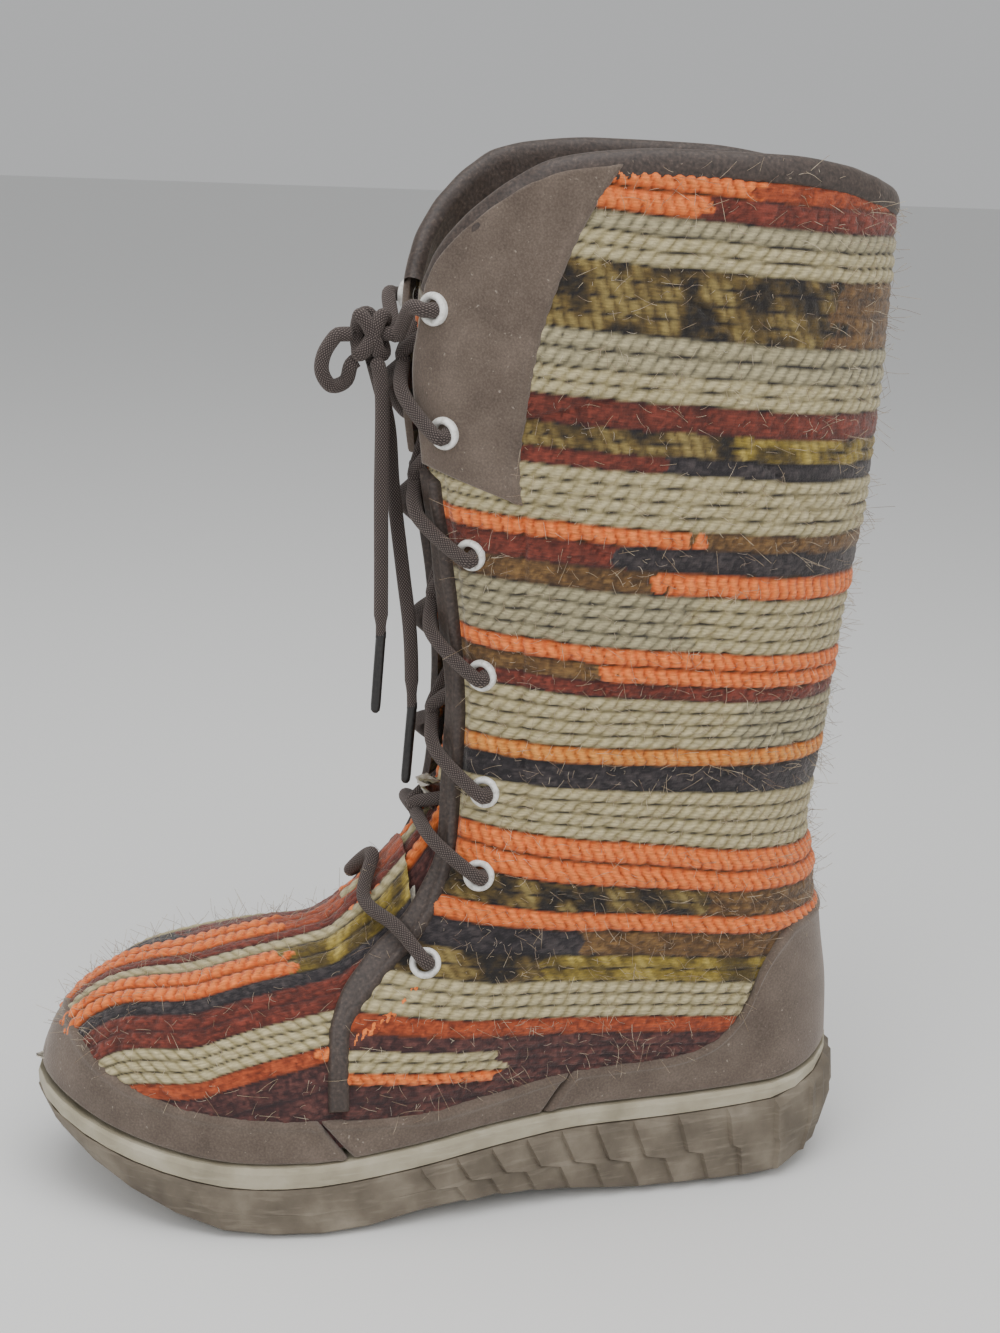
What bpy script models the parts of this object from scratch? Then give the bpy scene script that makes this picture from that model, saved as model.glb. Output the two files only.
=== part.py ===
"""Knee-low winter boot for the left foot: quilted wool knit upper on a cupped rubber sole.

The boot stands at rest on its sole. +X is towards the toe, +Y towards the wearer's
left (the outer side), +Z up. The origin is on the floor under the heel.
"""

from collections import namedtuple
from math import cos, pi, radians, sin

import bmesh
import bpy
import numpy as np
from mathutils import Matrix, Vector

# Driving dimensions, in metres
HEEL_X = -0.041
TOE_X = 0.239
GAP = 0.0003
SEAT = 0.0006
QUARTER_WALL = 0.0034
VAMP_WALL = 0.0032
VAMP_DROP = 0.0010
OVERLAY = 0.0020
BINDING = 0.0017
MIDSOLE_PROUD = 0.0030
OUTSOLE_PROUD = 0.0036
INSOLE_THICKNESS = 0.0040
TONGUE_WALL = 0.0030
LACE_RADIUS = 0.0024
LACE_CLEAR = 0.0006
TIP_RADIUS = 0.0017
EYELET_OUTER = 0.0054
EYELET_HOLE = 0.0030
EYELET_RISE = 0.0013
FRONT_CORNER_Z = 0.312
TONGUE_TOP_Z = 0.306

# Level cuts through heel, ankle and shaft: where the back lies, how wide the cut is to
# each side, and over what length its back and its front round off.
Level = namedtuple("Level", "z back half_width back_round front_round")
LEVELS = (
    Level(0.020, -0.0400, 0.0370, 0.034, 0.078),
    Level(0.040, -0.0415, 0.0370, 0.035, 0.078),
    Level(0.062, -0.0405, 0.0370, 0.036, 0.074),
    Level(0.090, -0.0360, 0.0370, 0.040, 0.064),
    Level(0.112, -0.0325, 0.0370, 0.045, 0.059),
    Level(0.130, -0.0290, 0.0370, 0.048, 0.057),
    Level(0.150, -0.0315, 0.0370, 0.050, 0.056),
    Level(0.200, -0.0355, 0.0380, 0.056, 0.060),
    Level(0.250, -0.0410, 0.0400, 0.062, 0.064),
    Level(0.310, -0.0425, 0.0410, 0.066, 0.066),
    Level(0.365, -0.0410, 0.0420, 0.068, 0.068),
)

# The profile seen from the side, from under the toe over vamp and instep to the collar.
Front = namedtuple("Front", "z x")
FRONT = (
    Front(0.020, 0.2385),
    Front(0.042, 0.2385),
    Front(0.052, 0.2360),
    Front(0.060, 0.2310),
    Front(0.068, 0.2230),
    Front(0.075, 0.2130),
    Front(0.081, 0.2010),
    Front(0.085, 0.1870),
    Front(0.0885, 0.1720),
    Front(0.0915, 0.1570),
    Front(0.095, 0.1450),
    Front(0.102, 0.1370),
    Front(0.110, 0.1280),
    Front(0.120, 0.1200),
    Front(0.132, 0.1130),
    Front(0.146, 0.1090),
    Front(0.165, 0.1075),
    Front(0.190, 0.1075),
    Front(0.215, 0.1100),
    Front(0.240, 0.1150),
    Front(0.262, 0.1190),
    Front(0.290, 0.1220),
    Front(0.320, 0.1230),
    Front(0.365, 0.1230),
)
VAMP_ROWS = slice(1, 14)

# The foot seen from above: half-widths to the outer and inner side, the middle line,
# and the height over which the top rounds down to the side wall.
Station = namedtuple("Station", "x outer inner middle dome")
STATIONS = (
    Station(-0.040, 0.037, 0.037, 0.000, 0.090),
    Station(-0.010, 0.037, 0.037, 0.000, 0.090),
    Station(0.020, 0.038, 0.036, 0.000, 0.090),
    Station(0.055, 0.039, 0.033, 0.000, 0.090),
    Station(0.090, 0.043, 0.035, 0.000, 0.090),
    Station(0.125, 0.050, 0.044, -0.001, 0.072),
    Station(0.155, 0.054, 0.051, -0.002, 0.052),
    Station(0.180, 0.054, 0.055, -0.004, 0.044),
    Station(0.205, 0.051, 0.056, -0.006, 0.037),
    Station(0.225, 0.049, 0.054, -0.008, 0.031),
    Station(0.240, 0.048, 0.052, -0.009, 0.028),
)

# Heights along the sole: tread, both edges of the pale band, and the top of the suede.
Sole = namedtuple("Sole", "x tread band_low band_high")
SOLE = (
    Sole(-0.050, 0.0120, 0.0430, 0.0455),
    Sole(-0.041, 0.0075, 0.0410, 0.0440),
    Sole(-0.030, 0.0030, 0.0370, 0.0412),
    Sole(-0.014, 0.0000, 0.0330, 0.0385),
    Sole(0.036, 0.0000, 0.0295, 0.0360),
    Sole(0.062, 0.0025, 0.0288, 0.0352),
    Sole(0.090, 0.0048, 0.0260, 0.0330),
    Sole(0.116, 0.0040, 0.0230, 0.0302),
    Sole(0.142, 0.0000, 0.0205, 0.0280),
    Sole(0.174, 0.0000, 0.0190, 0.0266),
    Sole(0.192, 0.0035, 0.0205, 0.0276),
    Sole(0.208, 0.0090, 0.0230, 0.0296),
    Sole(0.222, 0.0155, 0.0265, 0.0324),
    Sole(0.232, 0.0220, 0.0300, 0.0356),
    Sole(0.244, 0.0300, 0.0355, 0.0408),
)

# The top edge of rand and heel counter, from the heel to the toe.
Rand = namedtuple("Rand", "x top")
RAND = (
    Rand(-0.041, 0.0980),
    Rand(-0.014, 0.0970),
    Rand(-0.007, 0.0930),
    Rand(-0.003, 0.0830),
    Rand(0.000, 0.0720),
    Rand(0.004, 0.0640),
    Rand(0.012, 0.0560),
    Rand(0.026, 0.0515),
    Rand(0.066, 0.0490),
    Rand(0.095, 0.0445),
    Rand(0.125, 0.0415),
    Rand(0.154, 0.0425),
    Rand(0.176, 0.0435),
    Rand(0.193, 0.0450),
    Rand(0.209, 0.0480),
    Rand(0.225, 0.0540),
    Rand(0.234, 0.0590),
    Rand(0.239, 0.0620),
)
# Slanted seams between toe rand, side rand and counter: station at the foot and the top
TOE_SEAM = (0.142, 0.153)
HEEL_SEAM = (0.074, 0.064)

# The bound front edge of the quarter, from the rand up to the front corner of the collar.
Edge = namedtuple("Edge", "z x")
THROAT = (
    Edge(0.020, 0.1490),
    Edge(0.055, 0.1490),
    Edge(0.069, 0.1480),
    Edge(0.078, 0.1440),
    Edge(0.088, 0.1360),
    Edge(0.099, 0.1240),
    Edge(0.110, 0.1155),
    Edge(0.127, 0.1080),
    Edge(0.145, 0.1060),
    Edge(0.172, 0.1050),
    Edge(0.191, 0.1060),
    Edge(0.212, 0.1085),
    Edge(0.230, 0.1115),
    Edge(0.247, 0.1150),
    Edge(0.263, 0.1175),
    Edge(0.290, 0.1205),
    Edge(0.312, 0.1190),
)

# The top edge of the shaft: low at the back, level over the side, rounded to the front.
Collar = namedtuple("Collar", "x z")
COLLAR = (
    Collar(-0.042, 0.3450),
    Collar(-0.026, 0.3500),
    Collar(-0.012, 0.3535),
    Collar(0.010, 0.3560),
    Collar(0.050, 0.3565),
    Collar(0.070, 0.3550),
    Collar(0.085, 0.3520),
    Collar(0.095, 0.3465),
    Collar(0.104, 0.3390),
    Collar(0.111, 0.3310),
    Collar(0.116, 0.3225),
    Collar(0.119, 0.3120),
)

# The suede lace panel: its rear edge from the collar down to its lowest corner.
Rear = namedtuple("Rear", "z x")
PANEL_REAR = (
    Rear(0.246, 0.0885),
    Rear(0.263, 0.0900),
    Rear(0.285, 0.0885),
    Rear(0.303, 0.0860),
    Rear(0.326, 0.0795),
    Rear(0.343, 0.0720),
    Rear(0.357, 0.0625),
)
PANEL_LOW_FRONT_Z = 0.2555
PANEL_LOW_REAR_Z = 0.2460

# Eyelet centres, from the top pair down
Eyelet = namedtuple("Eyelet", "x z")
EYELETS = (
    Eyelet(0.1155, 0.307),
    Eyelet(0.1110, 0.268),
    Eyelet(0.1020, 0.228),
    Eyelet(0.0965, 0.187),
    Eyelet(0.0945, 0.147),
    Eyelet(0.0965, 0.119),
    Eyelet(0.1150, 0.090),
)


def column(table, name):
    """One named column of a table."""
    return np.array([getattr(row, name) for row in table])


def smooth_curve(xs, ys, at):
    """A cubic through the points that never swings past them."""
    at = np.clip(np.asarray(at, float), xs[0], xs[-1])
    step = np.diff(xs)
    rise = np.diff(ys) / step
    slope = np.zeros(len(xs))
    slope[0] = rise[0]
    slope[-1] = rise[-1]
    for i in range(1, len(xs) - 1):
        if rise[i - 1] * rise[i] > 0:
            near = 2 * step[i] + step[i - 1]
            far = step[i] + 2 * step[i - 1]
            slope[i] = (near + far) / (near / rise[i - 1] + far / rise[i])
    i = np.clip(np.searchsorted(xs, at, side="right") - 1, 0, len(xs) - 2)
    t = (at - xs[i]) / step[i]
    level = ys[i] + t * t * (3 - 2 * t) * (ys[i + 1] - ys[i])
    return level + step[i] * t * (1 - t) * ((1 - t) * slope[i] - t * slope[i + 1])


def along(table, key, name, at):
    """The smooth curve of one column against another."""
    return smooth_curve(column(table, key), column(table, name), at)


def ease(t):
    """0 to 1 with level ends."""
    t = np.clip(t, 0, 1)
    return t * t * (3 - 2 * t)


def rounding(depth):
    """Quarter of an ellipse: 0 on the outline, 1 a full rounding length inside it."""
    return np.sqrt(1 - (1 - np.clip(depth, 0, 1)) ** 2)


def back_x(z):
    return along(LEVELS, "z", "back", z)


def front_x(z):
    return along(FRONT, "z", "x", z)


def ridge_z(x):
    """Height of the profile over vamp and instep, and steeply on up behind them."""
    vamp = FRONT[VAMP_ROWS][::-1]
    behind = np.maximum(vamp[0].x - x, 0)
    return along(vamp, "x", "z", x) + 1.3 * behind + 40 * behind**2


def middle_y(x):
    return along(STATIONS, "x", "middle", x)


def half_width(x, z, side):
    """How far the outer skin stands from the middle line, at a point of the side view."""
    shaft = ease((z - 0.055) / 0.085)
    foot = along(STATIONS, "x", "outer" if side > 0 else "inner", x)
    width = (1 - shaft) * foot + shaft * along(LEVELS, "z", "half_width", z)
    from_back = (x - back_x(z)) / along(LEVELS, "z", "back_round", z)
    ahead = np.maximum(front_x(z) - x, 1e-9) / along(LEVELS, "z", "front_round", z)
    above = np.maximum(ridge_z(x) - z, 1e-9) / along(STATIONS, "x", "dome", x)
    vamp = 1 - ease((z - 0.095) / 0.045)
    from_front = 1 / np.sqrt(1 / ahead**2 + vamp / above**2)
    return width * rounding(from_back) * rounding(from_front)


def skin(x, z, side):
    """Point on the outer skin of the upper, from its place in the side view."""
    x, z = np.broadcast_arrays(np.asarray(x, float), np.asarray(z, float))
    return np.stack([x, middle_y(x) + side * half_width(x, z, side), z], axis=-1)


def station(x_nominal, z, side):
    """Point on the skin at a share of the boot's length, so that it can follow toe and heel."""
    share = (x_nominal - HEEL_X) / (TOE_X - HEEL_X)
    return skin(back_x(z) + (front_x(z) - back_x(z)) * share, z, side)


def spaced(points, count, crowd=1.0):
    """The same line with its points spread evenly, or crowded towards its start."""
    run = np.concatenate([[0], np.cumsum(np.linalg.norm(np.diff(points, axis=0), axis=1))])
    at = run[-1] * np.linspace(0, 1, count) ** crowd
    return np.stack([np.interp(at, run, points[:, k]) for k in range(3)], axis=-1)


def quarter_turn(count=80):
    """0 to 1, with points crowded towards 1."""
    return np.sin(np.linspace(0, pi / 2, count))


def normals(grid):
    """Unit normals of a grid of points, away from the inside of the boot."""
    across = np.gradient(grid, axis=1)
    upward = np.gradient(grid, axis=0)
    normal = np.cross(across, upward)
    normal /= np.maximum(np.linalg.norm(normal, axis=2, keepdims=True), 1e-12)
    outward = grid - np.array([0.06, 0, 0.05])
    outward[..., 2] *= 0.2
    return normal if (normal * outward).sum() > 0 else -normal


def solid(name, vertices, faces, material):
    """An object from corner points and faces, with its faces turned outwards."""
    bm = bmesh.new()
    corners = [bm.verts.new(p) for p in vertices]
    for face in faces:
        bm.faces.new([corners[i] for i in face])
    bmesh.ops.recalc_face_normals(bm, faces=bm.faces)
    mesh = bpy.data.meshes.new(name)
    bm.to_mesh(mesh)
    bm.free()
    mesh.shade_smooth()
    mesh.set_sharp_from_angle(angle=radians(40))
    obj = bpy.data.objects.new(name, mesh)
    bpy.context.collection.objects.link(obj)
    if material:
        mesh.materials.append(material)
    return obj


def shell(name, grid, inner, outer, material, level=np.s_[0, :], tip=False):
    """Closed sheet between two offsets of a grid of points; each may vary over the grid.

    The points picked by level lie on the sole, and are offset level with it. With a tip,
    the last row closes round the toe, and is offset straight back.
    """
    rows, columns = grid.shape[:2]
    normal = normals(grid)
    if tip:
        normal[-1] = (1, 0, 0)
    if level:
        normal[level + (2,)] = 0
        normal /= np.linalg.norm(normal, axis=2, keepdims=True)
    spread = np.ones((rows, columns))
    low = grid + normal * (spread * inner)[..., None]
    high = grid + normal * (spread * outer)[..., None]
    vertices = np.concatenate([low.reshape(-1, 3), high.reshape(-1, 3)])
    shift = rows * columns
    faces = []
    for r in range(rows - 1):
        for c in range(columns - 1):
            a = r * columns + c
            b = a + 1
            faces.append((a, b, b + columns, a + columns))
            faces.append((a + shift, a + shift + columns, b + shift + columns, b + shift))
    rim = [c for c in range(columns)]
    rim += [r * columns + columns - 1 for r in range(1, rows)]
    rim += [(rows - 1) * columns + c for c in range(columns - 2, -1, -1)]
    rim += [r * columns for r in range(rows - 2, 0, -1)]
    for a, b in zip(rim, rim[1:] + rim[:1]):
        faces.append((a, a + shift, b + shift, b))
    return solid(name, vertices, faces, material)


def paint(name, colour, roughness, metallic=0.0):
    """Plain Principled material."""
    material = bpy.data.materials.new(name)
    material.use_nodes = True
    shader = material.node_tree.nodes["Principled BSDF"]
    shader.inputs["Base Color"].default_value = (*colour, 1)
    shader.inputs["Roughness"].default_value = roughness
    shader.inputs["Metallic"].default_value = metallic
    return material


def boolean(obj, other, operation):
    """Applies an exact Boolean and removes the other object."""
    modifier = obj.modifiers.new(operation.lower(), "BOOLEAN")
    modifier.operation = operation
    modifier.solver = "EXACT"
    modifier.object = other
    graph = bpy.context.evaluated_depsgraph_get()
    mesh = bpy.data.meshes.new_from_object(obj.evaluated_get(graph))
    obj.modifiers.clear()
    obj.data = mesh
    bpy.data.objects.remove(other)


def sole_outline(count):
    """The closed foot outline just above the sole, heel back first, outer side first."""
    z = 0.034
    t = (1 - np.cos(np.linspace(0, pi, 400))) / 2
    x = back_x(z) + (front_x(z) - back_x(z)) * t
    outer = spaced(skin(x, z, 1), count)
    inner = spaced(skin(x, z, -1), count)
    return np.concatenate([outer[:, :2], inner[-2:0:-1, :2]])


def loop_normals(loop):
    """Outward unit normals of a closed loop seen from above."""
    ahead = np.roll(loop, -1, axis=0) - loop
    behind = loop - np.roll(loop, 1, axis=0)
    near = np.linalg.norm(ahead, axis=1)[:, None]
    far = np.linalg.norm(behind, axis=1)[:, None]
    run = ahead * far / near + behind * near / far
    normal = np.stack([run[:, 1], -run[:, 0]], axis=1)
    normal /= np.linalg.norm(normal, axis=1)[:, None]
    return normal if normal[0, 0] < 0 else -normal


def ring(loop, offset, height):
    """A loop pushed outwards, each point at the height that the sole has there."""
    spot = loop + loop_normals(loop) * (np.ones(len(loop)) * offset)[:, None]
    return np.column_stack([spot, height(spot[:, 0])])


def slab(name, rings, material):
    """Solid of stacked rings.

    Its floor and its lid are ladders of rungs across the foot, so they follow the
    length of the sole and stay flat where it is flat.
    """
    count = len(rings[0])
    faces = []
    for k in range(len(rings) - 1):
        for i in range(count):
            j = (i + 1) % count
            faces.append((k * count + i, k * count + j, (k + 1) * count + j, (k + 1) * count + i))
    top = (len(rings) - 1) * count
    for i in range(count // 2):
        corners = [i, i + 1, (count - i - 1) % count, (count - i) % count]
        corners = [c for n, c in enumerate(corners) if c not in corners[:n]]
        faces.append(corners)
        faces.append([top + c for c in corners])
    return solid(name, np.concatenate(rings), faces, material)


# Side relief of the outsole, by the distance along its wall from the back of the heel:
# ribs round the heel, then leaning scales as far as the arch
RIB_PITCH = 0.0068
RIB_DEPTH = 0.0011
RIBS_END = 0.0340
SCALE_PITCH = 0.0130
SCALE_DEPTH = 0.0017
SCALE_STEP = 0.0008
SCALE_COUNT = 10
SCALE_LEAN = 0.0045
PLAIN_STEPS = 11


def wall_stops(length):
    """Distance from the heel and relief of each corner on one side of the sole."""
    stops = []
    for k in range(int(round(2 * RIBS_END / RIB_PITCH)) + 1):
        stops.append((k * RIB_PITCH / 2, RIB_DEPTH * ((k + 1) % 2)))
    for k in range(SCALE_COUNT):
        start = RIBS_END + k * SCALE_PITCH
        stops.append((start + SCALE_STEP, 0.0))
        stops.append((start + SCALE_PITCH, SCALE_DEPTH))
    end = stops[-1][0] + SCALE_STEP
    stops += [(run, 0.0) for run in np.linspace(end, length, PLAIN_STEPS)]
    return np.array(stops)


def wall_loop(shift):
    """The outline with a point at each corner of the relief, and the relief there."""
    halves = []
    for side in (1, -1):
        t = (1 - np.cos(np.linspace(0, pi, 400))) / 2
        x = back_x(0.034) + (front_x(0.034) - back_x(0.034)) * t
        line = skin(x, 0.034, side)[:, :2]
        run = np.concatenate([[0], np.cumsum(np.linalg.norm(np.diff(line, axis=0), axis=1))])
        stops = wall_stops(run[-1])
        after_ribs = ease((stops[:, 0] - RIBS_END) / 0.060)
        before_toe = ease((run[-1] - 0.040 - stops[:, 0]) / 0.080)
        at = stops[:, 0] + shift * after_ribs * before_toe
        place = np.stack([np.interp(at, run, line[:, k]) for k in (0, 1)], axis=1)
        halves.append(np.column_stack([place, stops[:, 1]]))
    loop = np.concatenate([halves[0], halves[1][-2:0:-1]])
    return loop[:, :2], loop[:, 2]


def outsole(material):
    """Cupped rubber sole with toe spring, arch, rounded heel and cut tread."""

    def tread(x):
        return along(SOLE, "x", "tread", x)

    def between(share):
        """Height at a share of the wall, from tread to pale band."""
        return lambda x: tread(x) + share * (along(SOLE, "x", "band_low", x) - SEAT - tread(x))

    Wall = namedtuple("Wall", "share lean relief inset heel toe")
    walls = (
        Wall(0.00, 0.0, 0.0, 0.0070, -1.5, 1.0),
        Wall(0.06, 0.0, 0.0, 0.0028, -0.6, 1.0),
        Wall(0.13, 0.0, 1.0, 0.0012, 0.0, 0.7),
        Wall(0.48, 1.0, 1.0, 0.0006, 0.6, 0.3),
        Wall(0.53, 1.2, 1.0, 0.0006, 0.7, 0.2),
        Wall(0.90, 2.2, 1.0, 0.0006, 0.4, 0.0),
        Wall(1.00, 2.2, 0.0, 0.0008, 0.0, 0.0),
    )
    rings = []
    for wall in walls:
        stagger = 0.5 * SCALE_PITCH * (wall.share > 0.5)
        loop, relief = wall_loop(SCALE_LEAN * wall.lean + stagger)
        bulge = 0.004 * wall.heel * (1 - ease((loop[:, 0] + 0.045) / 0.045))
        tuck = 0.004 * wall.toe * ease((loop[:, 0] - 0.190) / 0.045)
        offset = OUTSOLE_PROUD - wall.inset + bulge - tuck + relief * wall.relief
        rings.append(ring(loop, offset, between(wall.share)))
    body = slab("outsole", rings, material)
    for groove in tread_grooves():
        boolean(body, groove, "DIFFERENCE")
    return body


# Tread grooves: middle station of each, clear of the two flat spots it stands on
GROOVE_XS = (
    -0.020, 0.006, 0.030, 0.054, 0.078, 0.102, 0.126, 0.148, 0.168, 0.188, 0.206, 0.222,
)
GROOVE_WIDTH = 0.0040
GROOVE_DEPTH = 0.0030
GROOVE_MARGIN = 0.011


def tread_grooves():
    """Arched bars across the sole, which cut it into transverse lugs."""
    cutters = []
    for x in GROOVE_XS:
        reach_out = float(half_width(x, 0.034, 1)) - GROOVE_MARGIN
        reach_in = float(half_width(x, 0.034, -1)) - GROOVE_MARGIN
        middle = float(middle_y(x))
        floor = float(along(SOLE, "x", "tread", x))
        vertices = []
        faces = []
        for k in range(4):
            share = k / 3
            y = middle - reach_in + share * (reach_in + reach_out)
            bow = 0.006 * (1 - (2 * share - 1) ** 2)
            slope = float(along(SOLE, "x", "tread", x + bow)) - floor
            for dx, z in ((0, -0.004), (GROOVE_WIDTH, -0.004), (GROOVE_WIDTH, 0), (0, 0)):
                top = GROOVE_DEPTH if z == 0 else z
                vertices.append((x + bow + dx, y, floor + slope + top))
        for k in range(3):
            for c in range(4):
                d = (c + 1) % 4
                faces.append((4 * k + c, 4 * k + d, 4 * k + 4 + d, 4 * k + 4 + c))
        faces.append((0, 1, 2, 3))
        faces.append((12, 13, 14, 15))
        cutters.append(solid("groove", vertices, faces, None))
    return cutters


def band_top(x):
    return along(SOLE, "x", "band_high", x)


def midsole(material):
    """The pale band that shows as a stripe round the boot, and carries insole and upper."""
    loop = sole_outline(33)
    rings = [
        ring(loop, MIDSOLE_PROUD - 0.0003, lambda x: along(SOLE, "x", "band_low", x)),
        ring(loop, MIDSOLE_PROUD, lambda x: 0.3 * along(SOLE, "x", "band_low", x) + 0.7 * band_top(x)),
        ring(loop, MIDSOLE_PROUD - 0.0005, band_top),
    ]
    return slab("midsole", rings, material)


def insole(material):
    """Footbed inside the wall."""
    inset = -(QUARTER_WALL + VAMP_DROP + 0.0012)
    loop = sole_outline(25)
    rings = [
        ring(loop, inset, lambda x: band_top(x) + GAP),
        ring(loop, inset, lambda x: band_top(x) + GAP + INSOLE_THICKNESS),
    ]
    return slab("insole", rings, material)


def throat_x(z):
    return along(THROAT, "z", "x", z)


def collar_z(x):
    return along(COLLAR, "x", "z", x)


def foot_z(x):
    """Lower edge of upper and rand, clear of the pale band, which rises to heel and toe."""
    share = (x - HEEL_X) / (TOE_X - HEEL_X)
    return band_top(x + 0.004 * (2 * share - 1)) + GAP


def shaft_row(height, count, front=0.0):
    """Line round the boot from throat edge to throat edge, at a height at its front end.

    High rows bend up to the collar's line, and the lowest follow the sole. The two
    ends lie a given distance ahead of the bound edge.
    """
    collar = ease((height - 0.190) / (FRONT_CORNER_Z - 0.190))
    low = ease((0.062 - height) / 0.032)
    end = float(throat_x(height)) + front
    x = float(back_x(height)) + (end - float(back_x(height))) * quarter_turn()[::-1]
    x = end - (x - x[-1])
    x = x[::-1]

    def lift(at):
        return height + collar * (collar_z(at) - FRONT_CORNER_Z) + low * (foot_z(at) - 0.030)

    z = lift(x)
    heel = back_x(z)
    x = heel + (end - heel) * (x - x[-1]) / (x[0] - x[-1])
    outer = skin(x, z, 1)
    inner = skin(x, z, -1)[::-1]
    return spaced(np.concatenate([outer, inner[1:]]), count)


QUARTER_COLUMNS = 31
QUARTER_HEIGHTS = (
    0.030, 0.043, 0.056, 0.068, 0.078, 0.086, 0.093, 0.100, 0.108, 0.117, 0.128,
    0.142, 0.165, 0.200, 0.238, 0.275, 0.312,
)


def quarter(material):
    """Both quarters and the shaft, one sheet round the back from throat edge to throat edge."""
    grid = np.stack([shaft_row(height, QUARTER_COLUMNS) for height in QUARTER_HEIGHTS])
    return shell("upper", grid, -QUARTER_WALL, 0.0, material)


VAMP_BACK_X = 0.118


def vamp_section(x, count):
    """Line over the forefoot at one station, from sole edge to sole edge."""
    foot = float(foot_z(x))
    crown = float(ridge_z(x))
    z = foot + (crown - foot) * quarter_turn(120)
    outer = skin(x, z, 1)
    inner = skin(x, z, -1)[::-1]
    return spaced(np.concatenate([outer, inner[1:]]), count)


def vamp(material):
    """The forefoot piece, from the toe to where it runs under the quarters."""
    share = np.sin(np.linspace(0, pi / 2, 12))
    stations = VAMP_BACK_X + (0.2384 - VAMP_BACK_X) * share
    grid = np.stack([vamp_section(x, 21) for x in stations])
    edges = np.s_[:, [0, -1]]
    return shell("vamp", grid, -(VAMP_DROP + VAMP_WALL), -VAMP_DROP, material, edges, tip=True)


def throat_cutter():
    """Block that opens the vamp where the tongue comes out, seen from the side."""
    outline = ((0.100, 0.078), (0.128, 0.080), (0.1405, 0.0905), (0.1450, 0.1100), (0.100, 0.1600))
    vertices = [(x, y, z) for y in (-0.060, 0.060) for x, z in outline]
    n = len(outline)
    faces = [tuple(range(n)), tuple(range(n, 2 * n))]
    faces += [(i, (i + 1) % n, n + (i + 1) % n, n + i) for i in range(n)]
    return solid("throat", vertices, faces, None)


def skin_frame(x, z, side, lift):
    """Matrix at a point of the side view: local +Z points out of the boot."""
    step = 0.002
    here = skin(x, z, side)
    ahead = skin(x + step, z, side) - skin(x - step, z, side)
    upward = skin(x, z + step, side) - skin(x, z - step, side)
    out = Vector(np.cross(ahead, upward)).normalized()
    if out.y * side < 0:
        out = -out
    place = Vector(here) + out * lift
    turn = out.to_track_quat("Z", "Y").to_matrix().to_4x4()
    return Matrix.Translation(place) @ turn


def seat_height(spot, side):
    """How far the skin swells above its tangent plane under an eyelet ring."""
    frame = skin_frame(spot.x, spot.z, side, 0.0).inverted()
    swell = 0.0
    for dx in np.linspace(-EYELET_OUTER, EYELET_OUTER, 9):
        for dz in np.linspace(-EYELET_OUTER, EYELET_OUTER, 9):
            near = frame @ Vector(skin(spot.x + dx, spot.z + dz, side))
            if near.xy.length < EYELET_OUTER:
                swell = max(swell, near.z)
    return swell


def drill(obj, radius):
    """Bores the eyelet holes through a piece."""
    for spot in EYELETS:
        for side in (1, -1):
            bm = bmesh.new()
            bmesh.ops.create_cone(
                bm, cap_ends=True, segments=8, radius1=radius, radius2=radius, depth=0.016,
                matrix=skin_frame(spot.x, spot.z, side, 0.0),
            )
            mesh = bpy.data.meshes.new("bore")
            bm.to_mesh(mesh)
            bm.free()
            bore = bpy.data.objects.new("bore", mesh)
            bpy.context.collection.objects.link(bore)
            boolean(obj, bore, "DIFFERENCE")


BORE_RADIUS = EYELET_HOLE + 0.0005 + GAP


def upper(material):
    """The hollow upper: quarters over the vamp, open at collar, throat and underneath."""
    front = vamp(material)
    boolean(front, throat_cutter(), "DIFFERENCE")
    body = quarter(material)
    boolean(body, front, "UNION")
    drill(body, BORE_RADIUS)
    return body


def toe_rand(material):
    """Suede rand round the toe, between the two slanted seams."""
    rows = []
    for share in (0, 0.25, 0.5, 0.75, 1):
        start = TOE_SEAM[0] + (TOE_SEAM[1] - TOE_SEAM[0]) * share + GAP
        x = start + (TOE_X - start) * quarter_turn()
        z = foot_z(x) + share * (along(RAND, "x", "top", x) - foot_z(x))
        line = np.concatenate([station(x, z, 1), station(x, z, -1)[::-1][1:]])
        rows.append(spaced(line, 25))
    grid = np.stack(rows)
    drop = (VAMP_DROP - GAP) * ease((grid[..., 0] - 0.1530) / 0.006)
    return shell("toe_rand", grid, SEAT - drop, OVERLAY - drop, material)


def side_rand(name, side, material):
    """Suede strip between toe rand and heel counter."""
    rows = []
    for share in (0, 0.5, 1):
        front = TOE_SEAM[0] + (TOE_SEAM[1] - TOE_SEAM[0]) * share - GAP - 0.0022 * (1 - share)
        rear = HEEL_SEAM[0] + (HEEL_SEAM[1] - HEEL_SEAM[0]) * share + GAP
        x = np.linspace(rear, front, 9)
        z = foot_z(x) + share * (along(RAND, "x", "top", x) - foot_z(x))
        rows.append(station(x, z, side))
    return shell(name, np.stack(rows), SEAT, OVERLAY, material)


def heel_counter(material):
    """Suede cup round the heel, high at the back."""
    rows = []
    for share in (0, 0.25, 0.5, 0.75, 1):
        start = HEEL_SEAM[0] + (HEEL_SEAM[1] - HEEL_SEAM[0]) * share - GAP
        x = start - (start - HEEL_X) * quarter_turn()
        z = foot_z(x) + share * (along(RAND, "x", "top", x) - foot_z(x))
        line = np.concatenate([station(x, z, 1), station(x, z, -1)[::-1][1:]])
        rows.append(spaced(line, 27))
    return shell("heel_counter", np.stack(rows), SEAT, OVERLAY, material)


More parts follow.
